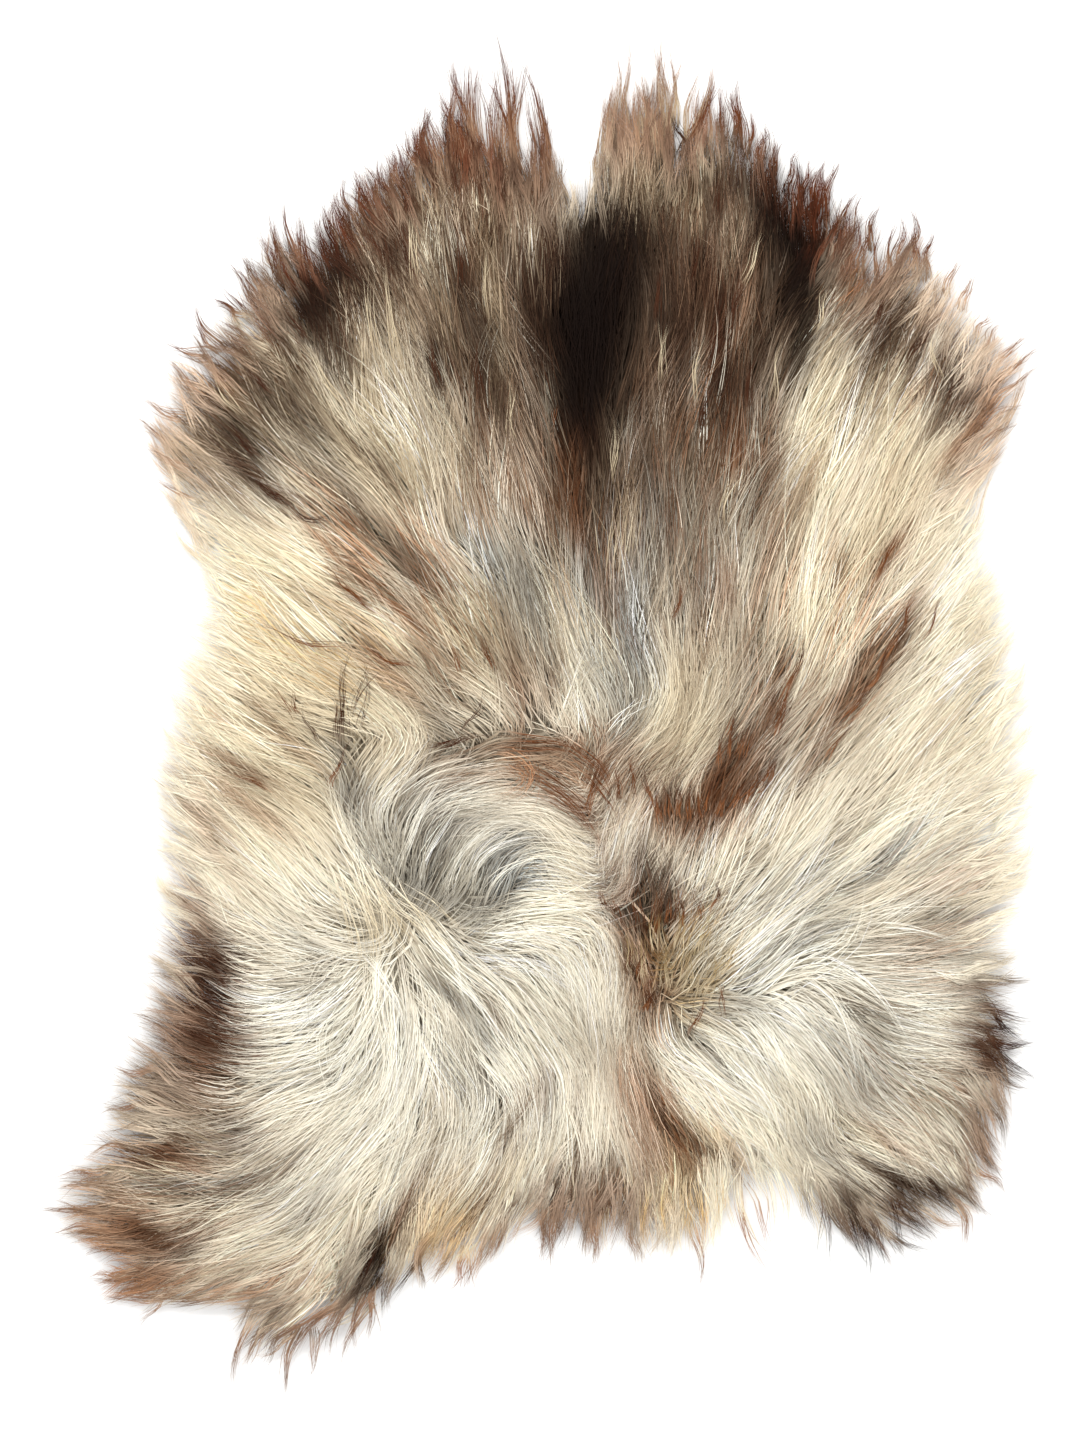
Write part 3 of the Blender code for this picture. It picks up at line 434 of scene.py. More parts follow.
# The wool's own colours, later rows on top, with the columns of the brindles
MARKINGS = (
    # Broad areas: yellow cream flanks, khaki and taupe shoulders, white hindquarters
    *marks(Tone.BUTTER, (-205,55,120,95,150,75), (255,165,115,65,70,70), (-215,-75,60,45,145,50),
        (225,90,60,26,80,50)),
    *marks(Tone.CREAM, (-270,-30,120,45,90,60), (330,120,80,45,60,80), (300,-40,80,60,50,50),
        (368,20,200,42,90,80), (240,178,70,26,72,50)),
    *marks(Tone.IVORY, (-140,-260,120,110,90,80), (225,-250,130,100,0,75), (0,-230,70,60,90,60),
        (-60,-75,90,50,20,60), (30,-345,60,50,90,50)),
    *marks(Tone.KHAKI, (-60,385,100,70,95,80), (100,420,75,60,90,85), (-235,255,70,52,140,80),
        (240,325,50,30,70,70)),
    *marks(Tone.TAUPE, (-140,335,80,52,110,85), (-45,290,95,45,98,85), (10,160,80,85,100,75),
        (115,160,80,66,85,50), (-120,145,75,26,145,60), (150,75,60,50,75,30)),
    *marks(Tone.BARK, (60,245,100,70,92,60), (140,310,105,62,82,100), (-60,350,60,34,95,45)),
    *marks(Tone.DRAB, (250,255,30,18,75,50), (290,300,62,40,60,80), (-75,0,60,40,120,55),
        (0,-40,60,26,-10,60), (255,10,70,26,52,50), (330,-155,60,34,20,45), (60,-265,50,26,165,50)),
    *marks(Tone.ASH, (20,90,70,50,100,75), (-35,105,60,45,108,75), (60,30,40,40,110,60),
        (140,30,60,40,72,30), (160,150,70,40,80,60)),
    # The shoulders' pale streaks and soft pinkish rims
    *marks(Tone.FAWN, (-40,470,80,62,92,80), (-272,288,45,26,130,75), (-225,345,50,22,122,70),
        (-130,430,44,24,110,60), (5,455,50,14,93,70), (75,485,50,34,91,70), (-310,228,30,18,135,60)),
    *marks(Tone.BLUSH, (270,370,50,34,80,80), (335,330,44,32,60,85), (375,270,50,30,50,80),
        (-295,255,36,22,135,70), (345,205,40,16,50,60), (-300,-130,60,14,105,50)),
    *marks(Tone.DRAB, (-88,385,48,14,93,85), (-45,385,40,10,95,60), (-215,283,40,16,128,50),
        (-285,215,26,20,140,60), (120,420,40,13,92,80), (72,425,40,14,94,80), (-35,320,55,9,97,75),
        (152,380,26,9,75,70), (-110,330,40,8,98,50)),
    *marks(Tone.OATMEAL, (-125,245,80,30,105,95), (-165,232,50,12,125,80), (-105,195,50,30,112,30)),
    *marks(Tone.CREAM, (-122,262,50,16,105,50), (-155,245,34,5,122,70)),
    *marks(Tone.OATMEAL, (-150,200,40,12,130,70), (-70,215,40,16,104,50), (228,265,60,26,72,90),
        (275,245,40,20,68,80), (215,200,50,14,74,80), (110,10,60,30,62,75), (120,-25,50,14,30,70),
        (45,60,40,9,108,60), (10,80,45,10,105,50)),
    # The dark saddle, up to the notch
    *marks(Tone.SOOT, (34,300,92,50,91,100), (60,360,42,38,98,100), (46,330,80,42,92,100),
        (28,245,48,30,88,100), (8,325,50,24,92,95), (70,388,26,17,100,90), (40,398,26,13,95,90)),
    *marks(Tone.UMBER, (-12,345,32,13,95,90), (-5,292,46,9,97,70), (38,205,34,22,90,90), (8,365,24,14,92,70),
        (97,340,60,14,90,80), (100,385,24,8,95,70), (122,340,50,16,84,60), (76,250,26,10,75,80),
        (-53,285,55,9,94,80), (-64,345,30,8,96,80), (-36,255,22,8,92,70), (40,165,30,14,92,60)),
    # The dark band on the right shoulder, and the brown between it and the saddle
    *marks(Tone.SOOT, (210,345,54,25,78,100), (203,298,44,15,76,95), (186,400,50,27,92,100),
        (196,430,32,17,100,95), (206,375,32,24,85,100), (109,448,30,10,105,90), (170,365,30,12,70,70)),
    *marks(Tone.UMBER, (216,402,42,21,82,95), (175,445,34,14,95,90), (150,420,34,14,80,80),
        (138,425,22,8,92,80), (148,258,26,18,80,85), (118,240,26,12,75,70), (165,285,34,9,78,60),
        (150,465,30,12,92,70), (130,345,34,8,85,60), (180,235,34,8,80,70), (190,320,40,9,76,70),
        (105,285,30,7,88,40)),
    *marks(Tone.TAUPE, (165,340,34,8,74,80), (160,300,26,7,78,50), (84,285,34,6,86,50), (125,285,30,6,86,70),
        (188,275,30,6,84,70), (108,215,30,14,82,50), (95,240,30,8,84,50)),
    *marks(Tone.ASH, (122,270,34,4,86,70), (186,265,30,4,86,60), (92,215,26,6,84,50), (65,218,16,6,75,50),
        (6,232,20,4,97,50), (-88,378,20,6,92,50)),
    # Black and dark brown on the left shoulder
    *marks(Tone.SOOT, (-183,334,42,28,116,100), (-169,370,40,15,110,100), (-190,318,28,18,122,95)),
    *marks(Tone.UMBER, (-148,345,36,14,100,95), (-193,358,26,9,114,90), (-121,372,38,13,98,95),
        (-204,292,24,8,122,85), (-160,278,34,9,113,80), (-84,280,24,7,104,90), (-246,224,30,10,140,90),
        (-227,190,28,8,130,95), (-145,405,26,8,102,85), (-105,412,30,9,92,80), (-222,315,22,5,124,80),
        (-175,300,26,8,118,60), (-195,272,30,5,122,70), (-70,425,30,10,100,60), (-40,420,34,10,105,50),
        (-130,335,24,8,100,60)),
    *marks(Tone.CHARCOAL, (-255,232,28,12,140,80), (-205,255,50,7,138,70), (-235,262,40,5,140,70),
        (-190,225,45,6,138,70), (-130,318,26,10,100,60), (-160,300,34,8,112,60), (-240,200,34,12,135,60),
        (-70,290,30,6,92,50)),
    *marks(Tone.BARK, (-215,362,34,5,115,50), (-250,294,34,5,160,70), (-228,335,30,5,120,60),
        (-172,162,50,7,163,85), (-175,185,40,7,142,70), (-125,145,45,8,145,70), (5,410,40,12,88,60),
        (-15,430,34,8,98,50)),
    # Rust and rusty brown tips round the broad end
    *marks(Tone.RUST, (-200,385,34,8,110,80), (-160,405,26,10,110,90), (-140,425,26,8,100,85),
        (-122,435,26,8,105,85), (-95,455,34,9,105,80), (-75,470,40,8,108,80), (-60,440,40,7,112,70),
        (-40,455,40,6,105,65), (-22,480,34,5,95,70), (0,450,40,7,88,70), (-45,490,34,5,100,60),
        (226,415,34,9,76,95), (210,430,30,10,88,90), (160,480,30,9,95,85), (143,485,30,6,92,85),
        (130,475,34,6,65,80), (308,372,26,8,88,85), (-110,445,24,6,98,80), (270,385,34,4,88,60),
        (255,375,40,5,75,60), (-235,340,34,3,120,60)),
    *marks(Tone.MAUVE, (62,480,40,9,92,60), (95,485,44,8,96,70), (80,470,30,18,90,60),
        (130,500,30,12,75,50)),
    # The right shoulder
    *marks(Tone.TAUPE, (290,290,56,26,150,70), (250,262,30,6,70,70), (262,240,30,5,70,60)),
    *marks(Tone.CHARCOAL, (305,288,30,16,62,90), (280,318,30,13,64,80), (325,275,24,13,55,85),
        (285,300,30,6,62,60), (240,335,26,9,70,70)),
    *marks(Tone.BARK, (262,325,34,6,72,80), (245,315,30,5,70,70), (332,250,28,12,52,80),
        (268,300,26,6,66,70), (350,262,18,9,60,60), (315,232,34,6,50,50), (240,345,26,5,72,70)),
    *marks(Tone.CLAY, (292,250,34,4,66,70), (340,225,34,6,48,60), (362,255,34,8,55,50),
        (330,210,34,8,48,40)),
    *marks(Tone.CREAM, (228,322,24,3,68,90), (312,300,30,4,60,80), (305,275,24,3,60,80),
        (240,285,40,5,74,70), (340,285,24,5,60,70)),
    # The back: brown fading down to grey
    *marks(Tone.CHESTNUT, (150,195,45,14,82,70), (182,205,34,12,80,70), (125,170,40,8,82,60),
        (30,150,34,8,98,70), (45,100,34,6,92,60), (55,110,34,6,88,70), (108,95,26,3,78,80),
        (140,95,34,7,76,60), (152,100,34,4,80,60), (175,110,34,6,76,60), (120,60,34,6,70,40),
        (20,190,34,8,95,60), (62,95,22,4,88,50), (170,70,30,5,76,40), (130,45,26,4,60,50)),
    *marks(Tone.UMBER, (85,190,34,8,86,70), (168,170,34,5,80,70), (140,150,34,5,82,60), (100,160,30,6,84,60),
        (60,190,30,6,88,70), (120,205,30,6,80,60), (125,105,26,6,82,50), (88,155,30,8,88,50)),
    *marks(Tone.SLATE, (72,62,30,13,105,80), (46,48,20,9,112,70), (75,110,40,14,92,60),
        (-45,125,34,13,106,80), (-10,100,45,15,106,50), (90,150,40,14,90,50), (62,10,30,12,100,55),
        (130,100,22,8,80,40), (168,25,34,7,72,50), (-60,90,30,8,120,50), (70,-8,16,10,80,60)),
    *marks(Tone.CHARCOAL, (68,62,18,6,105,70), (-42,122,20,5,106,50), (76,35,12,7,100,50)),
    # The left flank's brown streaks
    *marks(Tone.OATMEAL, (-232,-25,60,50,140,70), (-60,62,48,30,130,85)),
    *marks(Tone.BARK, (-100,112,40,8,135,70), (-75,85,40,5,140,60), (-60,100,30,4,125,30),
        (-38,48,24,6,115,60), (-17,15,24,7,106,85), (-85,60,34,5,140,60)),
    *marks(Tone.CHESTNUT, (-140,108,40,6,142,80), (-100,85,30,10,145,60), (-185,62,45,4,162,40),
        (-130,52,34,7,158,70), (-60,55,26,6,125,60), (-235,-45,24,6,158,80), (-155,78,34,4,150,40),
        (-228,8,30,2.5,130,60), (-250,-35,26,5,155,60), (-75,35,40,7,135,50), (-20,45,26,5,105,50),
        (10,35,24,5,80,60)),
    *marks(Tone.CLAY, (-120,30,40,10,145,50), (-200,-25,34,5,150,40), (-275,-80,60,14,125,40),
        (-10,20,34,16,100,40), (-235,-70,50,8,145,50), (-150,130,30,6,150,50)),
    *marks(Tone.OATMEAL, (-62,64,34,12,130,70), (-45,80,30,6,122,60)),
    # The arc over the swirl
    *marks(Tone.CHESTNUT, (-70,-32,40,5,12,70), (-15,-27,44,5,2,75), (25,-32,34,5,-12,60),
        (5,-60,40,4,-38,70), (30,-75,30,4,-45,65), (45,-92,30,6,-68,75), (48,-35,16,6,80,80),
        (45,-60,34,7,62,50)),
    *marks(Tone.CLAY, (-40,-45,45,7,5,50), (20,-45,40,9,-25,50), (40,-20,34,10,0,60)),
    # The V on the rump, with its spiky tips
    *marks(Tone.CLAY, (112,-72,40,22,10,85), (150,-60,42,22,55,85)),
    *marks(Tone.CHESTNUT, (118,-76,30,7,20,35), (150,-58,34,7,55,45), (105,-62,16,7,88,45),
        (62,-52,18,4,85,85), (72,-45,16,4,92,80), (86,-56,16,4,108,90), (145,-35,26,9,50,80),
        (186,20,34,6,78,85), (185,-5,26,8,80,70), (125,-85,30,10,70,40), (65,-68,16,6,90,50)),
    *marks(Tone.BARK, (160,-32,26,6,62,60), (170,-12,20,5,72,70), (150,-45,26,4,70,40), (165,-56,18,6,50,80),
        (180,-46,18,5,60,80), (102,-66,16,4,85,80), (116,-76,20,3,82,90), (110,-62,14,3,95,80),
        (194,45,22,4,72,95), (152,-8,14,3,75,80), (135,-62,24,3,66,70), (148,-72,20,5,62,70),
        (84,-52,10,3,100,80)),
    *marks(Tone.TAUPE, (268,52,34,16,55,85), (245,12,36,9,50,80), (215,-35,40,9,52,60), (230,5,34,7,52,70),
        (285,75,30,9,58,60), (200,-20,34,7,60,40), (325,0,50,8,55,30)),
    *marks(Tone.CHESTNUT, (240,15,26,4,48,70), (252,22,26,5,52,70), (265,58,22,6,58,80), (245,3,22,3,48,80),
        (210,-45,30,3,58,60), (292,85,26,3,70,60), (280,50,26,4,60,60), (225,-20,24,3,55,50),
        (305,80,26,2.5,62,50)),
    *marks(Tone.CLAY, (279,132,24,5,62,80), (262,100,34,4,68,60), (212,185,26,4,72,60), (190,150,34,5,78,60),
        (200,120,30,3,76,50), (232,120,24,6,95,50)),
    # The column below the V
    *marks(Tone.OCHRE, (112,-192,50,34,78,90), (88,-185,44,22,92,90), (108,-224,28,22,80,70),
        (75,-205,40,10,100,60)),
    *marks(Tone.CLAY, (82,-152,36,26,90,80), (80,-205,46,16,98,90), (92,-228,20,14,70,80),
        (108,-162,24,16,80,60)),
    *marks(Tone.BARK, (60,-140,26,10,110,70), (100,-155,22,6,78,80), (75,-163,22,9,95,70),
        (72,-195,26,4,102,60), (90,-222,12,5,60,70), (82,-238,22,4,85,50), (120,-150,16,6,85,60),
        (100,-130,16,8,80,60), (78,-215,20,4,100,40)),
    *marks(Tone.UMBER, (82,-138,24,8,92,80), (76,-118,18,7,100,70), (80,-160,16,6,90,60),
        (99,-158,16,4,75,85), (126,-150,14,3,105,80), (139,-140,13,2.5,108,90), (101,-140,14,3,85,80),
        (73,-198,14,4,100,80)),
    *marks(Tone.CHARCOAL, (88,-126,24,10,80,40), (105,-255,18,7,150,70), (62,-255,18,8,165,40)),
    # The blue-grey pockets of the swirl
    *marks(Tone.SLATE, (-28,-120,34,26,60,100), (-38,-145,20,12,50,80), (-90,-115,42,24,78,85),
        (-152,-60,42,16,105,85), (-112,-70,40,14,60,60), (-80,-65,30,10,50,50), (-55,-85,30,8,35,40),
        (-75,-10,34,12,110,50)),
    *marks(Tone.CHARCOAL, (-103,-110,26,5,75,60), (-45,-120,16,4,75,40), (-20,-105,14,5,10,40),
        (-152,-72,26,4,108,60), (-138,-60,24,3,80,50), (-118,-85,26,3,62,50), (-25,-140,14,5,30,40),
        (8,-100,16,3,-45,50), (-88,-90,22,3,55,40)),
    # Grey gaps in the white hindquarters: slate and charcoal lines painted on the hairs where the locks part,
    # partly the grey undercoat's own colour and partly painted shade in the gaps
    *marks(Tone.SLATE, (-72,-225,22,6,132,75), (-45,-250,22,7,122,75), (-165,-250,26,4,178,50),
        (-110,-262,30,5,100,60), (-140,-285,18,4,20,60), (-36,-310,26,8,105,70), (5,-300,26,8,98,70),
        (165,-205,30,7,42,70), (195,-183,30,9,25,80), (170,-232,30,9,160,80), (148,-240,20,7,150,70),
        (230,-168,22,4,5,80), (265,-183,20,4,5,70), (215,-128,22,5,40,70), (265,-125,30,7,38,90),
        (285,-105,34,7,35,80), (320,-110,34,6,28,60), (305,-215,24,4,0,60), (260,-212,26,5,140,50),
        (240,-250,26,6,110,50), (262,-275,30,14,90,60), (135,-270,34,6,130,60), (175,-282,34,8,135,60),
        (150,-290,40,4,125,50), (215,-328,22,7,150,80), (212,-345,24,5,160,85), (260,-300,40,14,170,50),
        (300,-248,34,4,178,50), (-190,-180,30,5,150,50), (-60,-190,24,5,140,50), (340,-190,30,8,10,60),
        (335,-160,26,7,15,60), (300,-150,26,5,25,40)),
    # the darkest gap lines: painted shade deep in the gaps, over the grey undercoat
    *marks(Tone.CHARCOAL, (-75,-222,14,3,132,60), (-42,-252,12,3,120,60), (-140,-286,8,2,20,70),
        (212,-343,18,3,155,70), (265,-128,18,3,38,50), (-34,-305,16,3,105,50), (190,-185,18,3,40,50),
        (95,-250,24,4,155,50), (220,-125,12,2.5,42,60)),
    *marks(Tone.MAUVE, (-42,-232,20,5,125,60), (2,-295,26,4,88,70), (28,-305,24,3,85,60),
        (330,-215,26,4,5,50)),
    *marks(Tone.ASH, (320,-305,40,26,150,80), (345,-330,26,16,120,70), (-215,-255,40,16,175,40),
        (280,-265,34,16,100,50), (-60,-285,40,12,115,50)),
    *marks(Tone.CREAM, (-118,-168,20,14,100,80), (185,-320,50,26,120,60), (225,-300,40,10,92,70)),
    *marks(Tone.IVORY, (200,-252,36,14,150,80), (222,-270,40,10,100,60), (-150,-215,50,20,175,50)),
    # The left edge and the trailing leg
    *marks(Tone.MAUVE, (-290,-165,55,14,98,75), (-305,-255,40,22,150,80), (-322,-298,34,26,165,80),
        (-275,-280,20,16,140,60), (-290,-120,40,8,100,50), (-365,-372,30,12,172,50), (-282,-225,75,34,95,90),
        (-262,-285,26,20,90,60)),
    *marks(Tone.CHESTNUT, (-262,-228,60,26,95,100), (-254,-268,26,18,70,90)),
    *marks(Tone.BARK, (-263,-226,48,21,95,100), (-256,-198,26,14,100,90), (-266,-246,24,16,90,95)),
    *marks(Tone.UMBER, (-268,-230,30,9,95,90), (-262,-205,18,5,98,70)),
    *marks(Tone.TAUPE, (-268,-312,40,18,165,70), (-225,-345,30,14,150,40)),
    *marks(Tone.FAWN, (-330,-400,60,44,178,70), (-300,-440,60,20,188,80), (-300,-355,60,10,172,70)),
    *marks(Tone.CHESTNUT, (-322,-345,52,12,175,100), (-325,-410,40,12,172,95), (-315,-425,34,6,180,60),
        (-318,-455,34,7,188,80), (-345,-395,30,4,175,60), (-285,-336,34,5,165,60), (-360,-355,24,5,178,60),
        (-250,-450,34,5,205,50), (-380,-392,18,4,178,60)),
    *marks(Tone.UMBER, (-325,-346,26,4,176,80), (-284,-428,18,8,175,90), (-320,-410,24,4,172,70),
        (-250,-328,18,5,155,80), (-300,-420,20,4,170,70), (-335,-455,16,3,188,60)),
    *marks(Tone.SLATE, (-285,-376,48,6,178,90), (-245,-368,34,6,185,70), (-248,-335,24,8,150,70),
        (-205,-385,26,7,165,80), (-185,-398,26,6,205,70), (-170,-372,30,5,50,60), (-200,-415,34,5,205,60),
        (-225,-395,26,4,180,50), (-235,-350,26,6,170,50)),
    *marks(Tone.CREAM, (-250,-392,60,8,182,80), (-245,-425,50,8,195,70), (-180,-450,40,10,235,70),
        (-300,-366,30,3,176,60)),
    *marks(Tone.CLAY, (-225,-455,40,7,220,80), (-205,-465,40,6,226,60), (-195,-490,40,12,215,60),
        (-60,-405,30,6,235,50)),
    *marks(Tone.BARK, (-190,-500,40,8,215,70), (-155,-500,26,8,240,70), (-222,-470,24,4,220,60),
        (-215,-510,26,4,220,60), (-140,-495,20,4,250,70)),
    *marks(Tone.UMBER, (-127,-420,36,13,246,100), (-136,-445,28,13,250,100)),
    *marks(Tone.SOOT, (-132,-440,30,9,250,100)),
    # The tail end
    *marks(Tone.HONEY, (-80,-415,40,28,248,70), (112,-385,55,20,275,70), (140,-345,26,16,120,40)),
    *marks(Tone.BUTTER, (112,-392,42,14,275,70)),
    *marks(Tone.CHESTNUT, (-103,-375,34,5,60,80), (-97,-438,18,7,215,80), (-25,-325,28,5,68,85),
        (-42,-425,26,4,240,60), (-110,-400,24,5,60,70), (-20,-345,20,4,62,60), (-10,-300,24,4,75,60)),
    *marks(Tone.MAUVE, (10,-405,30,14,262,80), (60,-400,36,34,268,50), (25,-375,30,16,265,40),
        (175,-435,26,5,118,70), (310,-412,26,20,60,70), (355,-350,44,14,108,80), (368,-305,36,10,98,80),
        (285,-405,26,14,110,50)),
    *marks(Tone.BARK, (42,-395,30,6,262,60), (58,-385,30,5,270,60), (365,-345,26,5,105,70),
        (30,-410,24,5,255,50), (115,-365,30,4,285,50), (130,-410,30,4,275,50), (80,-385,34,3,268,50),
        (20,-425,16,4,250,50)),
    *marks(Tone.FAWN, (50,-405,34,44,268,60), (85,-340,34,20,100,70), (75,-300,26,18,120,60),
        (130,-425,30,8,280,70)),
    *marks(Tone.CLAY, (100,-322,34,14,128,90), (160,-365,26,8,115,50), (85,-285,26,5,130,50),
        (270,-335,40,5,145,60)),
    *marks(Tone.UMBER, (97,-322,22,4,128,90), (112,-330,24,4,130,85), (125,-340,18,4,128,85),
        (92,-310,18,3,125,70), (152,-358,18,3,115,85), (176,-358,14,3,110,80), (140,-352,14,3,130,60)),
    *marks(Tone.BUTTER, (240,-322,40,8,145,60), (200,-300,34,6,95,40)),
    *marks(Tone.TAUPE, (-272,194,36,20,145,70), (-296,150,30,12,150,50), (270,372,40,26,78,75)),
    *marks(Tone.SLATE, (30,100,38,24,100,60), (-30,-122,26,18,60,80), (74,46,40,18,98,70),
        (72,96,34,14,92,60)),
    *marks(Tone.CHARCOAL, (-84,278,30,8,98,90), (-163,279,24,10,118,90), (-46,292,40,8,95,85),
        (-60,320,30,7,95,80), (-120,188,34,7,128,50), (-228,222,36,6,140,80), (-196,250,40,5,130,70),
        (95,330,46,8,86,70), (112,250,46,9,84,60)),
    *marks(Tone.OATMEAL, (345,40,90,26,80,50)),
    *marks(Tone.DRAB, (-115,215,55,30,115,40), (250,250,36,24,68,40), (345,50,60,20,45,25)),
    *marks(Tone.SOOT, (190,396,44,24,90,100)),
    *marks(Tone.IVORY, (285,-200,44,24,5,60), (-60,-182,36,18,150,60), (215,-270,60,34,130,40)),
    *marks(Tone.BARK, (-238,196,34,7,140,70), (-256,210,30,6,145,60), (368,-262,26,14,10,80),
        (360,-284,24,8,10,60), (265,-362,34,7,150,80), (290,-392,26,12,120,70), (250,-395,26,12,130,80),
        (240,-375,40,5,155,50)),
    *marks(Tone.UMBER, (285,-370,28,6,150,95), (308,-381,26,8,165,95), (290,-388,18,5,125,80),
        (270,-364,22,4,150,70), (248,-405,20,5,125,70), (230,-400,16,6,160,60), (325,-382,12,6,150,70)),
    *marks(Tone.CHESTNUT, (368,-252,30,40,160,60)),
    *marks(Tone.BARK, (370,-228,22,9,155,90), (376,-248,20,9,155,95), (366,-272,24,13,165,100),
        (380,-268,18,10,150,95), (355,-265,24,8,175,70), (352,-225,20,5,165,70), (370,-285,18,5,170,70),
        (385,-200,16,3,10,50)),
)

# The colours of the tips at the rim, with the same columns
TIPS = (
    *marks(Tone.BLUSH, (380,270,90,60,60,90), (300,380,90,50,0,70), (-300,250,110,50,60,90)),
    *marks(Tone.RUST, (-60,490,150,75,0,100), (-170,405,80,50,40,100), (-250,325,60,40,45,80),
        (150,470,120,60,140,90), (225,430,60,50,90,100), (275,390,60,40,0,80)),
    *marks(Tone.MAUVE, (80,500,50,60,90,90), (-310,-260,90,50,120,90), (20,-430,75,50,0,90),
        (350,-370,90,60,60,90), (-200,-520,90,60,0,90)),
    *marks(Tone.CLAY, (-370,-400,90,60,90,80), (-320,-460,80,40,0,80), (-60,-445,60,40,0,70)),
    *marks(Tone.BARK, (385,-250,60,40,90,100), (265,-430,70,50,0,90), (-135,-480,40,50,90,80)),
)


def linear(shade: str) -> Array:
    """Linear colour of an sRGB hex value.

    Args:
        shade: the hex value.

    Returns:
        Three linear numbers: below 0.04045 the sRGB number over 12.92, above it ((c + 0.055) / 1.055) ** 2.4.
    """
    digits = shade.lstrip("#")
    coded = np.array([int(digits[i : i + 2], 16) / 255 for i in (0, 2, 4)])
    return np.where(coded <= 0.04045, coded / 12.92, ((coded + 0.055) / 1.055) ** 2.4)


def heading_vector(degrees: Array) -> Array:
    """Unit vectors that point these many degrees round from +X."""
    angle = np.radians(degrees)
    return np.stack([np.cos(angle), np.sin(angle)], axis=-1)


def unit(arrows: Array) -> Array:
    """Arrows made one long."""
    return arrows / np.maximum(np.linalg.norm(arrows, axis=-1, keepdims=True), LEAST_GAP)


def stood(values: Array) -> Array:
    """One number for each hair, to go with arrays of (hair, ring, axis)."""
    return values[:, None, None]


def closed_curve(points: Array, steps: int = 8) -> Array:
    """A closed smooth curve through the points.

    Args:
        points: one row for each point; columns past x and y go along.
        steps: points on each stretch between two of them.

    Returns:
        The points of the Catmull-Rom spline, the cubic whose slope at each point is half the way from the
        point before it to the point after it.
    """
    before, start, end, after = (np.roll(points, shift, axis=0) for shift in (1, 0, -1, -2))
    t = (np.arange(steps) / steps)[None, :, None]
    before, start, end, after = (p[:, None] for p in (before, start, end, after))
    curve = 0.5 * (
        2 * start
        + (end - before) * t
        + (2 * before - 5 * start + 4 * end - after) * t**2
        + (3 * start - before - 3 * end + after) * t**3
    )
    return curve.reshape(-1, points.shape[1])


def signed_distance(line: Array, places: Array, batch: int = 4000) -> Array:
    """How far places lie inside a closed line.

    Args:
        line: the line's points.
        places: any number of places.
        batch: how many of them are worked out at once.

    Returns:
        The distance to the nearest stretch of the line, positive inside it and negative outside. A place is
        inside if a ray from it along +X crosses the line an odd number of times.
    """
    start, end = line, np.roll(line, -1, axis=0)
    span = end - start
    found = np.empty(len(places))
    for first in range(0, len(places), batch):
        some = places[first : first + batch, None]
        share = ((some - start) * span).sum(2) / np.maximum((span**2).sum(1), LEAST_GAP)
        nearest = start + np.clip(share, 0, 1)[..., None] * span
        apart = np.linalg.norm(some - nearest, axis=2).min(1)
        x, y = some[..., 0], some[..., 1]
        height = np.where(span[:, 1] == 0, 1.0, span[:, 1])
        crossed = (start[:, 1] > y) != (end[:, 1] > y)
        crossed &= x < start[:, 0] + (y - start[:, 1]) * span[:, 0] / height
        found[first : first + batch] = np.where(crossed.sum(1) % 2 == 1, apart, -apart)
    return found


@dataclass(frozen=True)
class PlanGrid:
    """Numbers kept on an even grid over the rug's plan, and read between its points."""

    values: Array
    low: Array
    pitch: float

    @classmethod
    def filled(
        cls, function: Callable[[Array], Array], half: tuple[float, float], pitch: float
    ) -> "PlanGrid":
        """Works a function out on a grid.

        Args:
            function: takes places, one row each, and returns one number or one row for each.
            half: half the grid's width and length.
            pitch: the grid's spacing.

        Returns:
            The filled grid.
        """
        low = -np.array(half)
        x, y = (np.arange(low[i], -low[i] + pitch, pitch) for i in (0, 1))
        places = np.stack(np.meshgrid(x, y), axis=-1)
        found = function(places.reshape(-1, 2))
        return cls(found.reshape(len(y), len(x), -1), low, pitch)

    def at(self, places: Array) -> Array:
        """Values at places of any shape (..., 2), straight between the four grid points round each."""
        spot = (places - self.low) / self.pitch
        most = np.array(self.values.shape[1::-1]) - 1.001
        spot = np.clip(spot, 0, most)
        cell = spot.astype(int)
        (u, v), (i, j) = np.moveaxis(spot - cell, -1, 0), np.moveaxis(cell, -1, 0)
        u, v = u[..., None], v[..., None]
        low_row = self.values[j, i] * (1 - u) + self.values[j, i + 1] * u
        high_row = self.values[j + 1, i] * (1 - u) + self.values[j + 1, i + 1] * u
        return low_row * (1 - v) + high_row * v


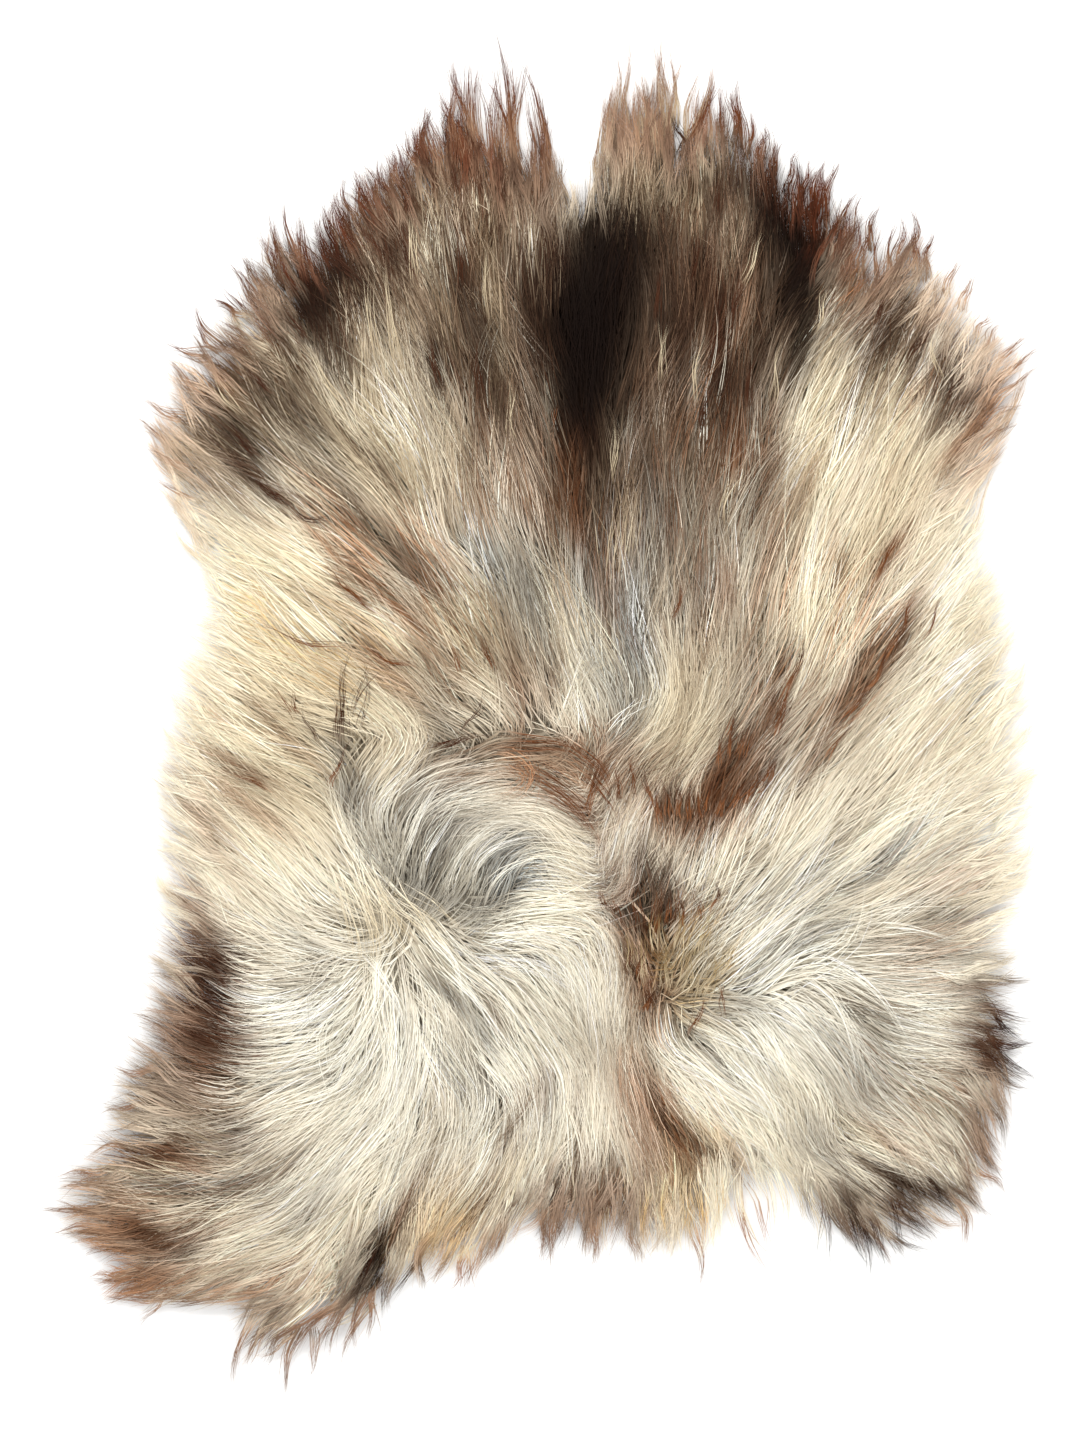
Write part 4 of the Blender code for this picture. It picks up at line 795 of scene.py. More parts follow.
@dataclass
class RugPlan:
    """The rug's outlines, the height of its pile and the lie of its wool, in millimetres."""

    hide_inset: float = 30.0
    hide_thickness: float = 2.0
    rim_top: float = 17.0
    loft: float = 47.0
    rim_slope: float = 95.0
    outer_fall: float = 26.0
    outer_least: float = 2.0
    far_share: float = 1e-3
    far_reach: float = 20.0
    half: tuple[float, float] = (480.0, 620.0)
    pitch: float = 5.0
    rim: Array = field(init=False)
    tips: Array = field(init=False)
    hide_edge: Array = field(init=False)
    shift: Array = field(init=False)
    rim_depth: PlanGrid = field(init=False)
    tip_depth: PlanGrid = field(init=False)
    hide_depth: PlanGrid = field(init=False)
    lie: PlanGrid = field(init=False)

    def __post_init__(self) -> None:
        """Works out the outlines and the grids."""
        rows = np.array(RIM, float)
        lean = heading_vector(rows[:, 3])
        self.rim = closed_curve(rows[:, :2])
        self.tips = np.array(OUTLINE, float)
        self.hide_edge = closed_curve(rows[:, :2] - self.hide_inset * lean)
        low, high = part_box("hide")
        middle = np.array([low.x + high.x, low.y + high.y]) / 2 / MM
        self.shift = middle - (self.hide_edge.min(0) + self.hide_edge.max(0)) / 2
        lines = (self.rim, self.tips, self.hide_edge)
        depths = [self.grid(partial(signed_distance, line)) for line in lines]
        self.rim_depth, self.tip_depth, self.hide_depth = depths
        self.lie = self.grid(self.combed)

    def grid(self, function: Callable[[Array], Array]) -> PlanGrid:
        """A grid of this plan's size, filled with a function."""
        return PlanGrid.filled(function, self.half, self.pitch)

    def combed(self, places: Array) -> Array:
        """The way the wool lies, as unit vectors.

        Args:
            places: one row for each place.

        Returns:
            The mean of the combings' directions, each weighed by exp(-(distance / spread) ** 2), with a far
            share that falls as 1 / distance ** 4, so that far places follow their nearest combing. The third
            number is how well they agree, from 0 to 1.
        """
        table = np.array(COMBINGS, float)
        apart = np.linalg.norm(places[:, None] - table[:, :2], axis=2)
        weight = np.exp(-((apart / table[:, 3]) ** 2))
        weight = weight + self.far_share * (self.far_reach / (self.far_reach + apart)) ** 4
        blend = weight @ heading_vector(table[:, 2])
        size = np.linalg.norm(blend, axis=1, keepdims=True)
        agreement = size / weight.sum(1, keepdims=True)
        return np.concatenate([blend / np.maximum(size, LEAST_GAP), agreement], axis=1)

    def crest(self, places: Array) -> Array:
        """Height of the pile's surface.

        Args:
            places: places of any shape (..., 2).

        Returns:
            Inside the rim the height rises from rim_top to the loft by s * (2 - s), where s is the depth over
            rim_slope, with the swells added. Outside it falls as exp(depth / outer_fall) to outer_least.
        """
        depth = self.rim_depth.at(places)[..., 0]
        share = np.clip(depth / self.rim_slope, 0, 1)
        loft = np.full(depth.shape, self.loft)
        for swell in SWELLS:
            apart = ((places - (swell.x, swell.y)) ** 2).sum(-1)
            loft += swell.rise * np.exp(-apart / swell.radius**2)
        inside = self.rim_top + (loft - self.rim_top) * share * (2 - share)
        fallen = np.exp(np.minimum(depth, 0) / self.outer_fall)
        return np.where(depth > 0, inside, self.outer_least + (self.rim_top - self.outer_least) * fallen)

    def metres(self, points: Array) -> Array:
        """Points of this plan, (..., 3), as metres in the rug's frame."""
        return (points + np.append(self.shift, 0.0)) * MM


def marking_weight(mark: Marking, places: Array) -> Array:
    """How strongly a marking is felt.

    Args:
        mark: the marking.
        places: one row for each place.

    Returns:
        exp(-r ** 3.2), where r is the distance from its middle measured in its half length and half width.
    """
    along = heading_vector(np.array(mark.heading))
    apart = places - (mark.x, mark.y)
    u = apart @ along / mark.length
    v = (apart[:, 1] * along[0] - apart[:, 0] * along[1]) / mark.width
    return np.exp(-((u * u + v * v) ** 1.6))


@dataclass
class Coat:
    """The wool's natural colours, laid on by the tables of markings."""

    plan: RugPlan
    ground: Tone = Tone.CREAM
    under_ground: Tone = Tone.OATMEAL
    pitch: float = 2.5
    rough_pitch: float = 10.0
    outer: PlanGrid = field(init=False)
    inner: PlanGrid = field(init=False)
    tips: PlanGrid = field(init=False)

    def __post_init__(self) -> None:
        """Works the colours out on three grids."""
        half = self.plan.half
        self.outer = PlanGrid.filled(partial(self.laid, self.ground, MARKINGS), half, self.pitch)
        self.inner = PlanGrid.filled(partial(self.laid, self.under_ground, UNDERS), half, self.rough_pitch)
        self.tips = PlanGrid.filled(partial(self.laid, self.ground, TIPS), half, self.rough_pitch)

    def laid(self, ground: Tone, markings: tuple[Marking, ...], places: Array) -> Array:
        """Linear colour at places.

        Args:
            ground: the colour where there is no marking.
            markings: the markings, later ones on top.
            places: one row for each place.

        Returns:
            The ground colour, over which each marking in turn is mixed by its strength times its weight.
        """
        found = np.tile(linear(ground.value), (len(places), 1))
        for mark in markings:
            reach = 2.0 * max(mark.length, mark.width)
            near = np.flatnonzero((np.abs(places - (mark.x, mark.y)) < reach).all(1))
            weight = mark.strength * marking_weight(mark, places[near])
            found[near] += (linear(mark.tone.value) - found[near]) * weight[:, None]
        return found


class WoolLayer(Enum):
    """The coats of the fleece, from the skin outwards."""

    UNDERCOAT = "undercoat"
    GUARD = "guard"
    WISP = "wisp"


@dataclass(frozen=True)
class HairKind:
    """How the hairs of one coat grow: widths in millimetres, height and length as shares, turn in degrees."""

    layer: WoolLayer
    per_lock: float
    width: float
    rings: int
    root_spread: float
    strays: float
    height: float
    length: float
    clump: float
    turn: float
    fringe: float


@dataclass
class Locks:
    """The locks of wool: where each is rooted, the line it follows and its habit."""

    path: Array
    step: float
    length: Array
    clump: Array
    wave: Array
    wavelength: Array
    phase: Array
    lift: Array
    shade: Array
    slip: Array
    bare: Array
    draws: Array

    def follow(self, lock: Array, along: Array) -> tuple[Array, Array]:
        """Places on the locks' lines.

        Args:
            lock: the number of the lock that each hair is in.
            along: distances from the root, one row for each hair.

        Returns:
            The places, and the unit vectors to the left of the line there.
        """
        most = self.path.shape[1] - 2
        spot = np.clip(along / self.step, 0, most + 0.999)
        cell = spot.astype(int)
        share = (spot - cell)[..., None]
        start = self.path[lock[:, None], cell]
        end = self.path[lock[:, None], cell + 1]
        way = unit(end - start)
        behind = np.minimum(along, 0)[..., None]
        return start + (end - start) * share + way * behind, np.stack([-way[..., 1], way[..., 0]], axis=-1)


@dataclass
class Fleece:
    """The wool: locks of fine hairs combed over the hide."""

    plan: RugPlan
    coat: Coat
    seed: int = 5
    pitch: float = 12.5
    longest: float = 124.0
    spread: float = 22.0
    step: float = 6.0
    leader_share: float = 0.16
    shortest: float = 18.0
    offset: float = 0.14
    unsure_offset: float = 0.4
    most_offset: float = 1.3
    curl: float = 0.0022
    gather: tuple[float, float] = (0.05, 0.6)
    most_gather: float = 0.85
    lock_lift: float = 1.7
    hair_lift: float = 1.4
    undercoat_lift: float = 0.4
    root_gap: float = 1.0
    roll: float = 0.28
    tuft_roll: float = 0.45
    under_share: float = 0.35
    undercoat_share: float = 0.35
    root_fade: float = 0.35
    follow_share: float = 0.85
    plain_contrast: float = 0.05
    lock_contrast: float = 0.32
    hair_contrast: float = 0.24
    edge_band: float = 70.0
    edge_share: float = 0.5
    inner_share: float = 0.36
    tuft_pitch: float = 5.0
    fullness: float = 1.3
    brindle_share: float = 0.8
    tipped_share: float = 0.85
    # layer, per_lock, width, rings, root_spread, strays, height, length, clump, turn, fringe
    kinds: tuple[HairKind, ...] = (
        HairKind(WoolLayer.UNDERCOAT, 4.0, 2.2, 6, 8.5, 1.6, 0.89, 0.75, 0.2, 2.5, 2.0),
        HairKind(WoolLayer.GUARD, 15.0, 0.68, 8, 7.5, 2.8, 1.0, 1.0, 0.8, 1.4, 4.0),
        HairKind(WoolLayer.WISP, 2.2, 0.5, 9, 8.5, 5.0, 1.05, 1.08, 0.1, 7.0, 7.0),
    )

    def planted(self, pick: np.random.Generator) -> Array:
        """Roots of the locks.

        Args:
            pick: the source of the random shifts.

        Returns:
            Places in staggered rows inside the hide's edge, each shifted at random. A share of them is kept,
            larger in a band along the edge, where the hair has to reach beyond the skin, and where the lie of
            the wool spreads, so that the parting is covered.
        """
        x = np.arange(-self.plan.half[0], self.plan.half[0], self.pitch / 2)
        y = np.arange(-self.plan.half[1], self.plan.half[1], self.pitch / 2 * math.sqrt(3))
        places = np.stack(np.meshgrid(x, y), axis=-1)
        places[1::2, :, 0] += self.pitch / 4
        places = places.reshape(-1, 2) + pick.normal(0, self.pitch * 0.2, (x.size * y.size, 2))
        depth = self.plan.hide_depth.at(places)[:, 0]
        lie = self.plan.lie
        steps = enumerate(np.eye(2) * 8)
        spread = sum(lie.at(places + step)[:, i] - lie.at(places - step)[:, i] for i, step in steps)
        share = np.where(depth < self.edge_band, self.edge_share, self.inner_share)
        share = share + np.clip(spread * 1.3 - 0.15, 0, 0.6)
        return places[(depth > 1) & (pick.random(len(places)) < share)]

    def grown(self, pick: np.random.Generator) -> Locks:
        """The locks, each led along the lie of the wool.

        Args:
            pick: the source of the random habits.

        Returns:
            Locks whose lines step by step follow the combed direction, turned by each lock's own offset,
            which is larger where the combings disagree, and by a slow curl. Towards the tip they draw in on
            the nearest of some leading locks. They end short of the outline of the tips by a random margin,
            which is up to 2.2 times as large at the notched end.
        """
        roots = self.planted(pick)
        count = len(roots)
        steps = int(self.longest * 1.5 / self.step)
        unsure = 1 - self.plan.lie.at(roots)[:, 2]
        drift = np.clip(pick.normal(0, 1, count), -self.most_offset, self.most_offset)
        drift = drift * (self.offset + self.unsure_offset * unsure)
        curl = pick.normal(0, self.curl, count)
        path = np.empty((count, steps + 1, 2))
        path[:, 0] = roots
        for i in range(steps):
            way = self.plan.lie.at(path[:, i])
            turn = drift + curl * self.step * i
            cos, sin = np.cos(turn), np.sin(turn)
            turned = np.stack([way[:, 0] * cos - way[:, 1] * sin, way[:, 0] * sin + way[:, 1] * cos], axis=1)
            turned /= np.linalg.norm(turned, axis=1, keepdims=True)
            path[:, i + 1] = path[:, i] + turned * self.step
        leaders = np.flatnonzero(pick.random(count) < self.leader_share)
        apart = np.linalg.norm(roots[:, None] - roots[None, leaders], axis=2)
        leader = leaders[apart.argmin(1)]
        gather = pick.uniform(*self.gather, count)[:, None] * np.linspace(0, 1.4, steps + 1)[None] ** 1.5
        path += np.clip(gather, 0, self.most_gather)[..., None] * (path[leader] - path)
        length = np.clip(pick.normal(self.longest, self.spread, count), 60, self.longest * 1.45)
        margin = self.plan.tip_depth.at(path)[..., 0]
        shy = pick.gamma(1.5, 8.0, count) * (1 + 1.2 * np.clip((roots[:, 1] - 220) / 150, 0, 1))
        out = margin < shy[:, None]
        reach = np.where(out.any(1), out.argmax(1) * self.step, np.inf)
        length = np.maximum(np.minimum(length, reach), self.shortest)
        return Locks(
            path=path,
            step=self.step,
            length=length,
            clump=pick.uniform(0.45, 1.0, count),
            wave=pick.gamma(2.0, 0.4, count),
            wavelength=pick.uniform(80, 150, count),
            phase=pick.uniform(0, 2 * math.pi, count),
            lift=pick.normal(0, self.lock_lift, count) + pick.normal(0, self.lock_lift, count)[leader],
            shade=0.75 * pick.normal(0, 1, count) + 0.65 * pick.normal(0, 1, count)[leader],
            slip=np.column_stack([pick.normal(0, 10, count), pick.normal(0, 2.2, count)]),
            bare=pick.uniform(0.0, 0.3, count),
            draws=pick.random((count, len(BRINDLES) + len(TIPPED))),
        )

    def hairs(self, locks: Locks, kind: HairKind, pick: np.random.Generator) -> "Hairs":
        """The hairs of one coat.

        Args:
            locks: the locks that they grow in.
            kind: how this coat grows.
            pick: the source of the random differences.

        Returns:
            The hairs. With t from 0 at the root to 1 at the tip, a hair lies beside its lock's line by
            offset * (1 - clump * t ** 1.4), plus the lock's wave and its own times sqrt(t), plus its turn * t
            and its stray * t ** 2. The undercoat rises and falls with its lock less than the other coats do.
        """
        count = int(len(locks.length) * kind.per_lock)
        lock = pick.integers(0, len(locks.length), count)
        t = np.linspace(0, 1, kind.rings)[None]
        length = locks.length[lock] * pick.uniform(0.72, 1.06, count) * kind.length
        start = pick.normal(0, kind.root_spread, count)
        along = start[:, None] + t * length[:, None]
        line, across = locks.follow(lock, along)
        clump = np.clip(locks.clump[lock] * kind.clump, 0, 0.95)[:, None]
        offset = pick.normal(0, kind.root_spread, count)[:, None]
        stray = (pick.normal(0, kind.strays, count) * pick.gamma(1.0, 1.0, count))[:, None]
        turn = np.tan(np.radians(pick.normal(0, 1, count) * kind.turn))[:, None]
        turns = 2 * math.pi * along
        wave = np.sin(turns / locks.wavelength[lock][:, None] + locks.phase[lock][:, None])
        wave = locks.wave[lock][:, None] * wave
        own = pick.gamma(1.5, 0.35, count)[:, None] * np.sin(
            turns / pick.uniform(60, 140, count)[:, None] + pick.uniform(0, 6.28, count)[:, None]
        )
        aside = offset * (1 - clump * t**1.4) + (wave + own) * np.sqrt(t) + stray * t**2
        aside = aside + turn * t * length[:, None]
        lift = locks.lift[lock] * (self.undercoat_lift if kind.layer is WoolLayer.UNDERCOAT else 1)
        lift = lift + pick.normal(0, self.hair_lift, count)
        places = self.trimmed(line + across * aside[..., None], pick.gamma(1.6, kind.fringe, count))
        points = self.raised(places, lift, kind, pick)
        colours = self.tinted(points, locks, lock, kind, pick)
        width = kind.width * pick.uniform(0.75, 1.25, count)
        return Hairs(points, colours, kind, width, pick.normal(0, self.roll, count))

    def trimmed(self, places: Array, allowed: Array) -> Array:
        """The hairs' middle lines, shortened where they would stand out of the outline of the tips.

        Args:
            places: the middle lines in plan.
            allowed: how far past the outline each hair may reach.

        Returns:
            Lines with as many points, spread evenly from the root to where the hair first passes its limit.
        """
        count, rings = places.shape[:2]
        row = np.arange(count)
        margin = self.plan.tip_depth.at(places)[..., 0] + np.minimum(allowed, 20)[:, None]
        out = margin < 0
        first = np.maximum(out.argmax(1), 1)
        before, after = margin[row, first - 1], margin[row, first]
        crossing = (first - 1 + np.clip(before / np.maximum(before - after, 1e-6), 0, 1)) / (rings - 1)
        stop = np.where(out.any(1), np.maximum(crossing, 0.12), 1)
        spot = np.linspace(0, 1, rings)[None] * stop[:, None] * (rings - 1)
        cell = np.minimum(spot.astype(int), rings - 2)
        share = (spot - cell)[..., None]
        return places[row[:, None], cell] * (1 - share) + places[row[:, None], cell + 1] * share

    def raised(self, places: Array, lift: Array, kind: HairKind, pick: np.random.Generator) -> Array:
        """The hairs' middle lines with their heights.

        Args:
            places: the middle lines in plan.
            lift: how much higher than the others each hair lies.
            kind: how this coat grows.
            pick: the source of the random differences.

        Returns:
            Points whose height is the crest times a rise: 0.8 of it is gained by 1 - (1 - 4 * t) ** 2 in the
            first quarter of the hair, where it stands up from the skin, and the rest by 1 - (1 - t) ** 2. The
            lifts count less where the crest is under 40 mm.
        """
        t = np.linspace(0, 1, places.shape[1])[None]
        rise = 0.8 * (1 - (1 - np.minimum(t * 4, 1)) ** 2) + 0.2 * (1 - (1 - t) ** 2)
        top = self.plan.crest(places)
        ease = np.clip(top / 40, 0.1, 1)
        tip_rise = pick.normal(0.5, 2.0, len(places))[:, None] * t**3
        root = self.plan.hide_thickness + self.root_gap
        height = root + (top * kind.height - root) * rise + (lift[:, None] * rise + tip_rise) * ease
        return np.concatenate([places, np.maximum(height, 0.5)[..., None]], axis=-1)

    def tinted(
        self, points: Array, locks: Locks, lock: Array, kind: HairKind, pick: np.random.Generator
    ) -> Array:
        """Colours along the hairs.

        Args:
            points: the hairs' middle lines.
            locks: the locks that they grow in.
            lock: the number of each hair's lock.
            kind: how this coat grows.
            pick: the source of the random differences.

        Returns:
            A linear colour for each ring. The markings are read a little before or after each ring, further
            along the hair than across it, so that their edges run out in streaks. In the brindled patches
            some of the locks take the patch's colour, and in the tipped ones some have dark tips. Near the
            root the colour is the undercoat's. Each lock and hair is lighter and greyer or darker and warmer
            by its own share, which is largest where the wool is neither light nor dark.
        """
        count, rings = points.shape[:2]
        way = unit(np.gradient(points[..., :2], axis=1))
        slip = locks.slip[lock] + np.column_stack([pick.normal(0, 5, count), pick.normal(0, 1.2, count)])
        across = np.stack([-way[..., 1], way[..., 0]], axis=-1)
        places = points[..., :2] + way * slip[:, None, :1] + across * slip[:, None, 1:]
        outer = self.coat.outer.at(places)
        inner = self.coat.inner.at(places) * self.under_share + outer * (1 - self.under_share)
        follows = pick.random(count) < self.follow_share
        for number, patch in enumerate(BRINDLES):
            chosen = np.flatnonzero((locks.draws[lock, number] < patch.strength) & follows)
            weight = marking_weight(patch, places[chosen].reshape(-1, 2)).reshape(len(chosen), rings, 1)
            weight = self.brindle_share * weight
            tone = linear(patch.tone.value)
            weight *= np.clip(outer[chosen].mean(2, keepdims=True) / (0.3 * tone.mean()), 0.05, 1)
            outer[chosen] += (tone - outer[chosen]) * weight
        t = np.linspace(0, 1, rings)[None]
        for number, patch in enumerate(TIPPED, len(BRINDLES)):
            chosen = np.flatnonzero((locks.draws[lock, number] < patch.strength) & follows)
            weight = marking_weight(patch, places[chosen].reshape(-1, 2)).reshape(len(chosen), rings)
            weight = (self.tipped_share * weight * np.clip((t - 0.5) / 0.3, 0, 1))[..., None]
            outer[chosen] += (np.minimum(linear(patch.tone.value), outer[chosen]) - outer[chosen]) * weight
        share = np.clip((t - locks.bare[lock][:, None]) / self.root_fade, 0, 1)
        share = (share * share * (3 - 2 * share))[..., None]
        if kind.layer is WoolLayer.UNDERCOAT:
            share = share * self.undercoat_share
        colour = inner * (1 - share) + outer * share
        light = np.sqrt(np.clip(colour.mean(2, keepdims=True), 0, 1))
        middling = (4 * light * (1 - light)) ** 2
        tone = stood(locks.shade[lock]) * (self.plain_contrast + self.lock_contrast * middling)
        own = self.plain_contrast + self.hair_contrast * middling
        tone = tone + stood(pick.normal(0, 1, count)) * own
        return np.clip(colour * np.exp(tone * np.array(WARMTH)), *COLOUR_LIMITS)

    def placed_by_hand(self, pick: np.random.Generator) -> "Hairs":
        """The hairs of the tufts table."""
        rows = [(*tress[:7], *linear(tress.base.value), *linear(tress.tip.value)) for tress in TUFTS]
        return self.tresses(np.array(rows, float), pick)

    def fringed(self, pick: np.random.Generator) -> "Hairs":
        """The pointed tufts all round the rim.

        Args:
            pick: the source of the random differences.

        Returns:
            Their hairs. Tufts stand at random along the outline of the tips, each along the lie of the wool
            turned by about 9 degrees, and run from the coat's own colour to the colour of the tips there.
            Dark tips end further out and differ more in shade than pale ones.
        """
        line = np.vstack([self.plan.tips, self.plan.tips[:1]])
        run = np.append(0, np.cumsum(np.linalg.norm(np.diff(line, axis=0), axis=1)))
        count = int(run[-1] / self.tuft_pitch)
        at = pick.uniform(0, run[-1], count)
        spot = np.column_stack([np.interp(at, run, line[:, i]) for i in (0, 1)])
        lie = self.plan.lie.at(spot)
        way = heading_vector(np.degrees(np.arctan2(lie[:, 1], lie[:, 0])) + pick.normal(0, 9, count))
        tips = self.coat.tips.at(spot)
        dark = np.clip(1.3 - 1.6 * tips.mean(1), 0.1, 1)
        tip = spot + way * (pick.normal(0, 8, count) * dark - 6 * (1 - dark))[:, None]
        root = tip - way * pick.uniform(40, 84, count)[:, None]
        habit = [pick.normal(0, 4, count), pick.uniform(5, 11, count), pick.integers(6, 15, count)]
        habit = np.column_stack(habit)
        shade = np.exp(np.clip(pick.normal(-0.15, 0.65, count), -1.2, 0.3) * dark)[:, None]
        colours = [self.coat.outer.at((root + tip) / 2), tips * shade]
        table = np.hstack([root, tip, habit, *colours])
        inside = self.plan.tip_depth.at(root)[:, 0] > 8
        inside &= self.plan.tip_depth.at(root * 0.4 + tip * 0.6)[:, 0] > 0
        return self.tresses(table[inside], pick)

    def tresses(self, table: Array, pick: np.random.Generator) -> "Hairs":
        """The hairs of locks whose roots and tips are given.

        Args:
            table: a row for each lock: root, tip, bow, width, hairs, and its two colours.
            pick: the source of the random differences.

        Returns:
            Their hairs. A lock's middle line is the straight line from root to tip plus bow * 4 * t * (1 - t)
            to the left, plus the lock's own sway. Its hairs start about a third of its width aside and, in
            locks under 20 mm wide, draw together towards the tip. They start in the coat's colour, turn to
            the lock's first colour and end in its second.
        """
        index = np.repeat(np.arange(len(table)), (table[:, 6] * self.fullness).astype(int))
        row = table[index]
        count = len(row)
        habit = pick.uniform(0, 1, (len(table), 3))[index][:, :, None, None]
        habit = habit * np.array([2.4, 4.0, 6.28])[:, None, None]
        kind = self.kinds[1]
        t = np.linspace(0, 1, kind.rings)[None, :, None]
        root, tip = row[:, None, 0:2], row[:, None, 2:4]
        span = tip - root
        length = np.linalg.norm(span, axis=2, keepdims=True)
        left = np.concatenate([-span[..., 1:], span[..., :1]], axis=2) / length
        along = t * stood(pick.uniform(0.84, 1.08, count)) + stood(pick.normal(0, 0.04, count))
        wide = row[:, None, 5:6]
        offset = stood(pick.normal(0, 0.3, count)) * wide
        draw = np.where(wide < 20, 0.8, 0.1)
        own = stood(pick.normal(0, 1.1, count)) * np.sin(along * stood(pick.uniform(3, 9, count)))
        stray = stood(pick.normal(0, 1.6, count) * pick.gamma(1.2, 1.0, count)) * t**2
        sway = habit[:, 0] * np.sin(along * (6 + habit[:, 1]) + habit[:, 2]) * np.minimum(along * 3, 1)
        aside = sway + row[:, None, 4:5] * 4 * along * (1 - along) + offset * (1 - draw * along) + own + stray
        places = root + span * along + left * aside
        points = self.raised(places, pick.normal(8, 2, count), kind, pick)
        share = np.clip((t - 0.3) / 0.4, 0, 1)
        colour = row[:, None, 7:10] * (1 - share) + row[:, None, 10:13] * share
        share = np.clip((t - 0.1) / 0.3, 0, 1)
        colour = self.coat.outer.at(places) * (1 - share) + colour * share
        colour = colour * stood(np.exp(pick.normal(0, 0.12, count)))
        colour = np.clip(colour, *COLOUR_LIMITS)
        width = pick.uniform(0.4, 0.8, count)
        return Hairs(points, colour, kind, width, pick.normal(0, self.tuft_roll, count))


@dataclass
class Hairs:
    """Middle lines and colours of a coat's hairs, and the flat tapered ribbons made from them."""

    points: Array
    colours: Array
    kind: HairKind
    width: Array
    roll: Array

    def ribbons(self) -> Array:
        """The ribbons' corners.

        Returns:
            For each hair the left and right corners of each ring, and last the tip. A ring's corners lie
            half a width each way across the hair, turned about it by its roll. The width is full up to
            t = 0.35 and shrinks to a sixth at the last ring before the tip.
        """
        way = unit(np.gradient(self.points, axis=1))
        level = unit(np.stack([way[..., 1], -way[..., 0], np.zeros(way.shape[:2])], axis=-1))
        upright = np.cross(level, way)
        roll = stood(self.roll)
        side = level * np.cos(roll) + upright * np.sin(roll)
        t = np.linspace(0, 1, self.kind.rings)[None, :, None]
        width = stood(self.width) * np.clip(1 - (t - 0.35) / 0.65, 0.17, 1)
        left, right = self.points - side * width / 2, self.points + side * width / 2
        rings = np.stack([left, right], axis=2)[:, :-1]
        return np.concatenate([rings.reshape(len(rings), -1, 3), self.points[:, -1:]], axis=1)

    def part(self, chosen: Array) -> "Hairs":
        """Some of the hairs."""
        colours = self.colours[chosen]
        return Hairs(self.points[chosen], colours, self.kind, self.width[chosen], self.roll[chosen])

    def joined(self, other: "Hairs") -> "Hairs":
        """These hairs and others with as many rings."""
        return Hairs(
            np.concatenate([self.points, other.points]),
            np.concatenate([self.colours, other.colours]),
            self.kind,
            np.concatenate([self.width, other.width]),
            np.concatenate([self.roll, other.roll]),
        )

    def made(self, name: str, plan: RugPlan) -> bpy.types.Object:
        """One mesh of all the hairs.

        Args:
            name: the new object's name.
            plan: the plan that turns its points into metres.

        Returns:
            An object with the ribbons, their colours as an attribute, and a map on which each ribbon has a
            strip of its own.
        """
        count, rings = self.points.shape[:2]
        corners = 2 * rings - 1
        points = plan.metres(self.ribbons())
        ring = np.arange(rings - 2)[:, None] * 2
        quads = ring + np.array([0, 1, 3, 2])
        tip = np.array([2 * rings - 4, 2 * rings - 3, 2 * rings - 2])
        pattern = np.concatenate([quads.ravel(), tip])
        loops = (np.arange(count)[:, None] * corners + pattern).ravel()
        sizes = np.tile(np.append(np.full(rings - 2, 4), 3), count)
        mesh = mesh_of(name, points.reshape(-1, 3), loops, sizes)
        shades = np.concatenate([np.repeat(self.colours[:, :-1], 2, axis=1), self.colours[:, -1:]], axis=1)
        paint(mesh, shades.reshape(-1, 3))
        side = np.append(np.tile([0.0, 1.0], rings - 1), 0.5)
        rise = np.append(np.repeat(np.arange(rings - 1), 2), rings - 1) / (rings - 1)
        lay_map(mesh, strip_map(count, self.colours[:, -2].mean(1), side[pattern], rise[pattern]))
        return placed(mesh)


def strip_map(count: int, shade: Array, side: Array, rise: Array) -> Array:
    """A map with a strip for each hair, in rows of strips that run from dark hairs to light ones.

    Args:
        count: how many hairs there are.
        shade: how light each hair is.
        side: across the strip, from 0 to 1, for each corner of one hair.
        rise: along the strip, from 0 to 1, for each corner of one hair.

    Returns:
        The map's two coordinates for every corner of every hair.
    """
    across = math.ceil(math.sqrt(count * 1.5))
    down = math.ceil(count / across)
    rank = np.empty(count, int)
    rank[np.argsort(shade)] = np.arange(count)
    column, row = (rank % across)[:, None], (rank // across)[:, None]
    u = (column + 0.15 + 0.7 * side) / across
    v = (row + 0.08 + 0.84 * rise) / down
    return np.stack([u, v], axis=-1).reshape(-1, 2)


def mesh_of(name: str, points: Array, loops: Array, sizes: Array) -> bpy.types.Mesh:
    """A mesh from whole arrays.

    Args:
        name: the mesh's name.
        points: its corners, in metres.
        loops: the faces' corner numbers, one face after the other.
        sizes: how many corners each face has.

    Returns:
        The mesh, shaded smooth.
    """
    mesh = bpy.data.meshes.new(name)
    mesh.vertices.add(len(points))
    mesh.vertices.foreach_set("co", points.astype(np.float32).ravel())
    mesh.loops.add(len(loops))
    mesh.loops.foreach_set("vertex_index", loops.astype(np.int32))
    mesh.polygons.add(len(sizes))
    starts = np.concatenate([[0], np.cumsum(sizes)[:-1]])
    mesh.polygons.foreach_set("loop_start", starts.astype(np.int32))
    mesh.update(calc_edges=True)
    mesh.validate()
    mesh.shade_smooth()
    return mesh


def paint(mesh: bpy.types.Mesh, colours: Array) -> None:
    """Writes linear colours on a mesh's corners, deepened by a power for each of red, green and blue."""
    layer = mesh.color_attributes.new(name=COLOUR_LAYER, type="FLOAT_COLOR", domain="POINT")
    rows = np.concatenate([colours ** np.array(FIBRE_DEPTH), np.ones((len(colours), 1))], axis=1)
    layer.data.foreach_set("color", rows.astype(np.float32).ravel())


def lay_map(mesh: bpy.types.Mesh, coordinates: Array) -> None:
    """Writes a mesh's map."""
    layer = mesh.uv_layers.new(name="OFBake", do_init=False)
    layer.uv.foreach_set("vector", coordinates.astype(np.float32).ravel())


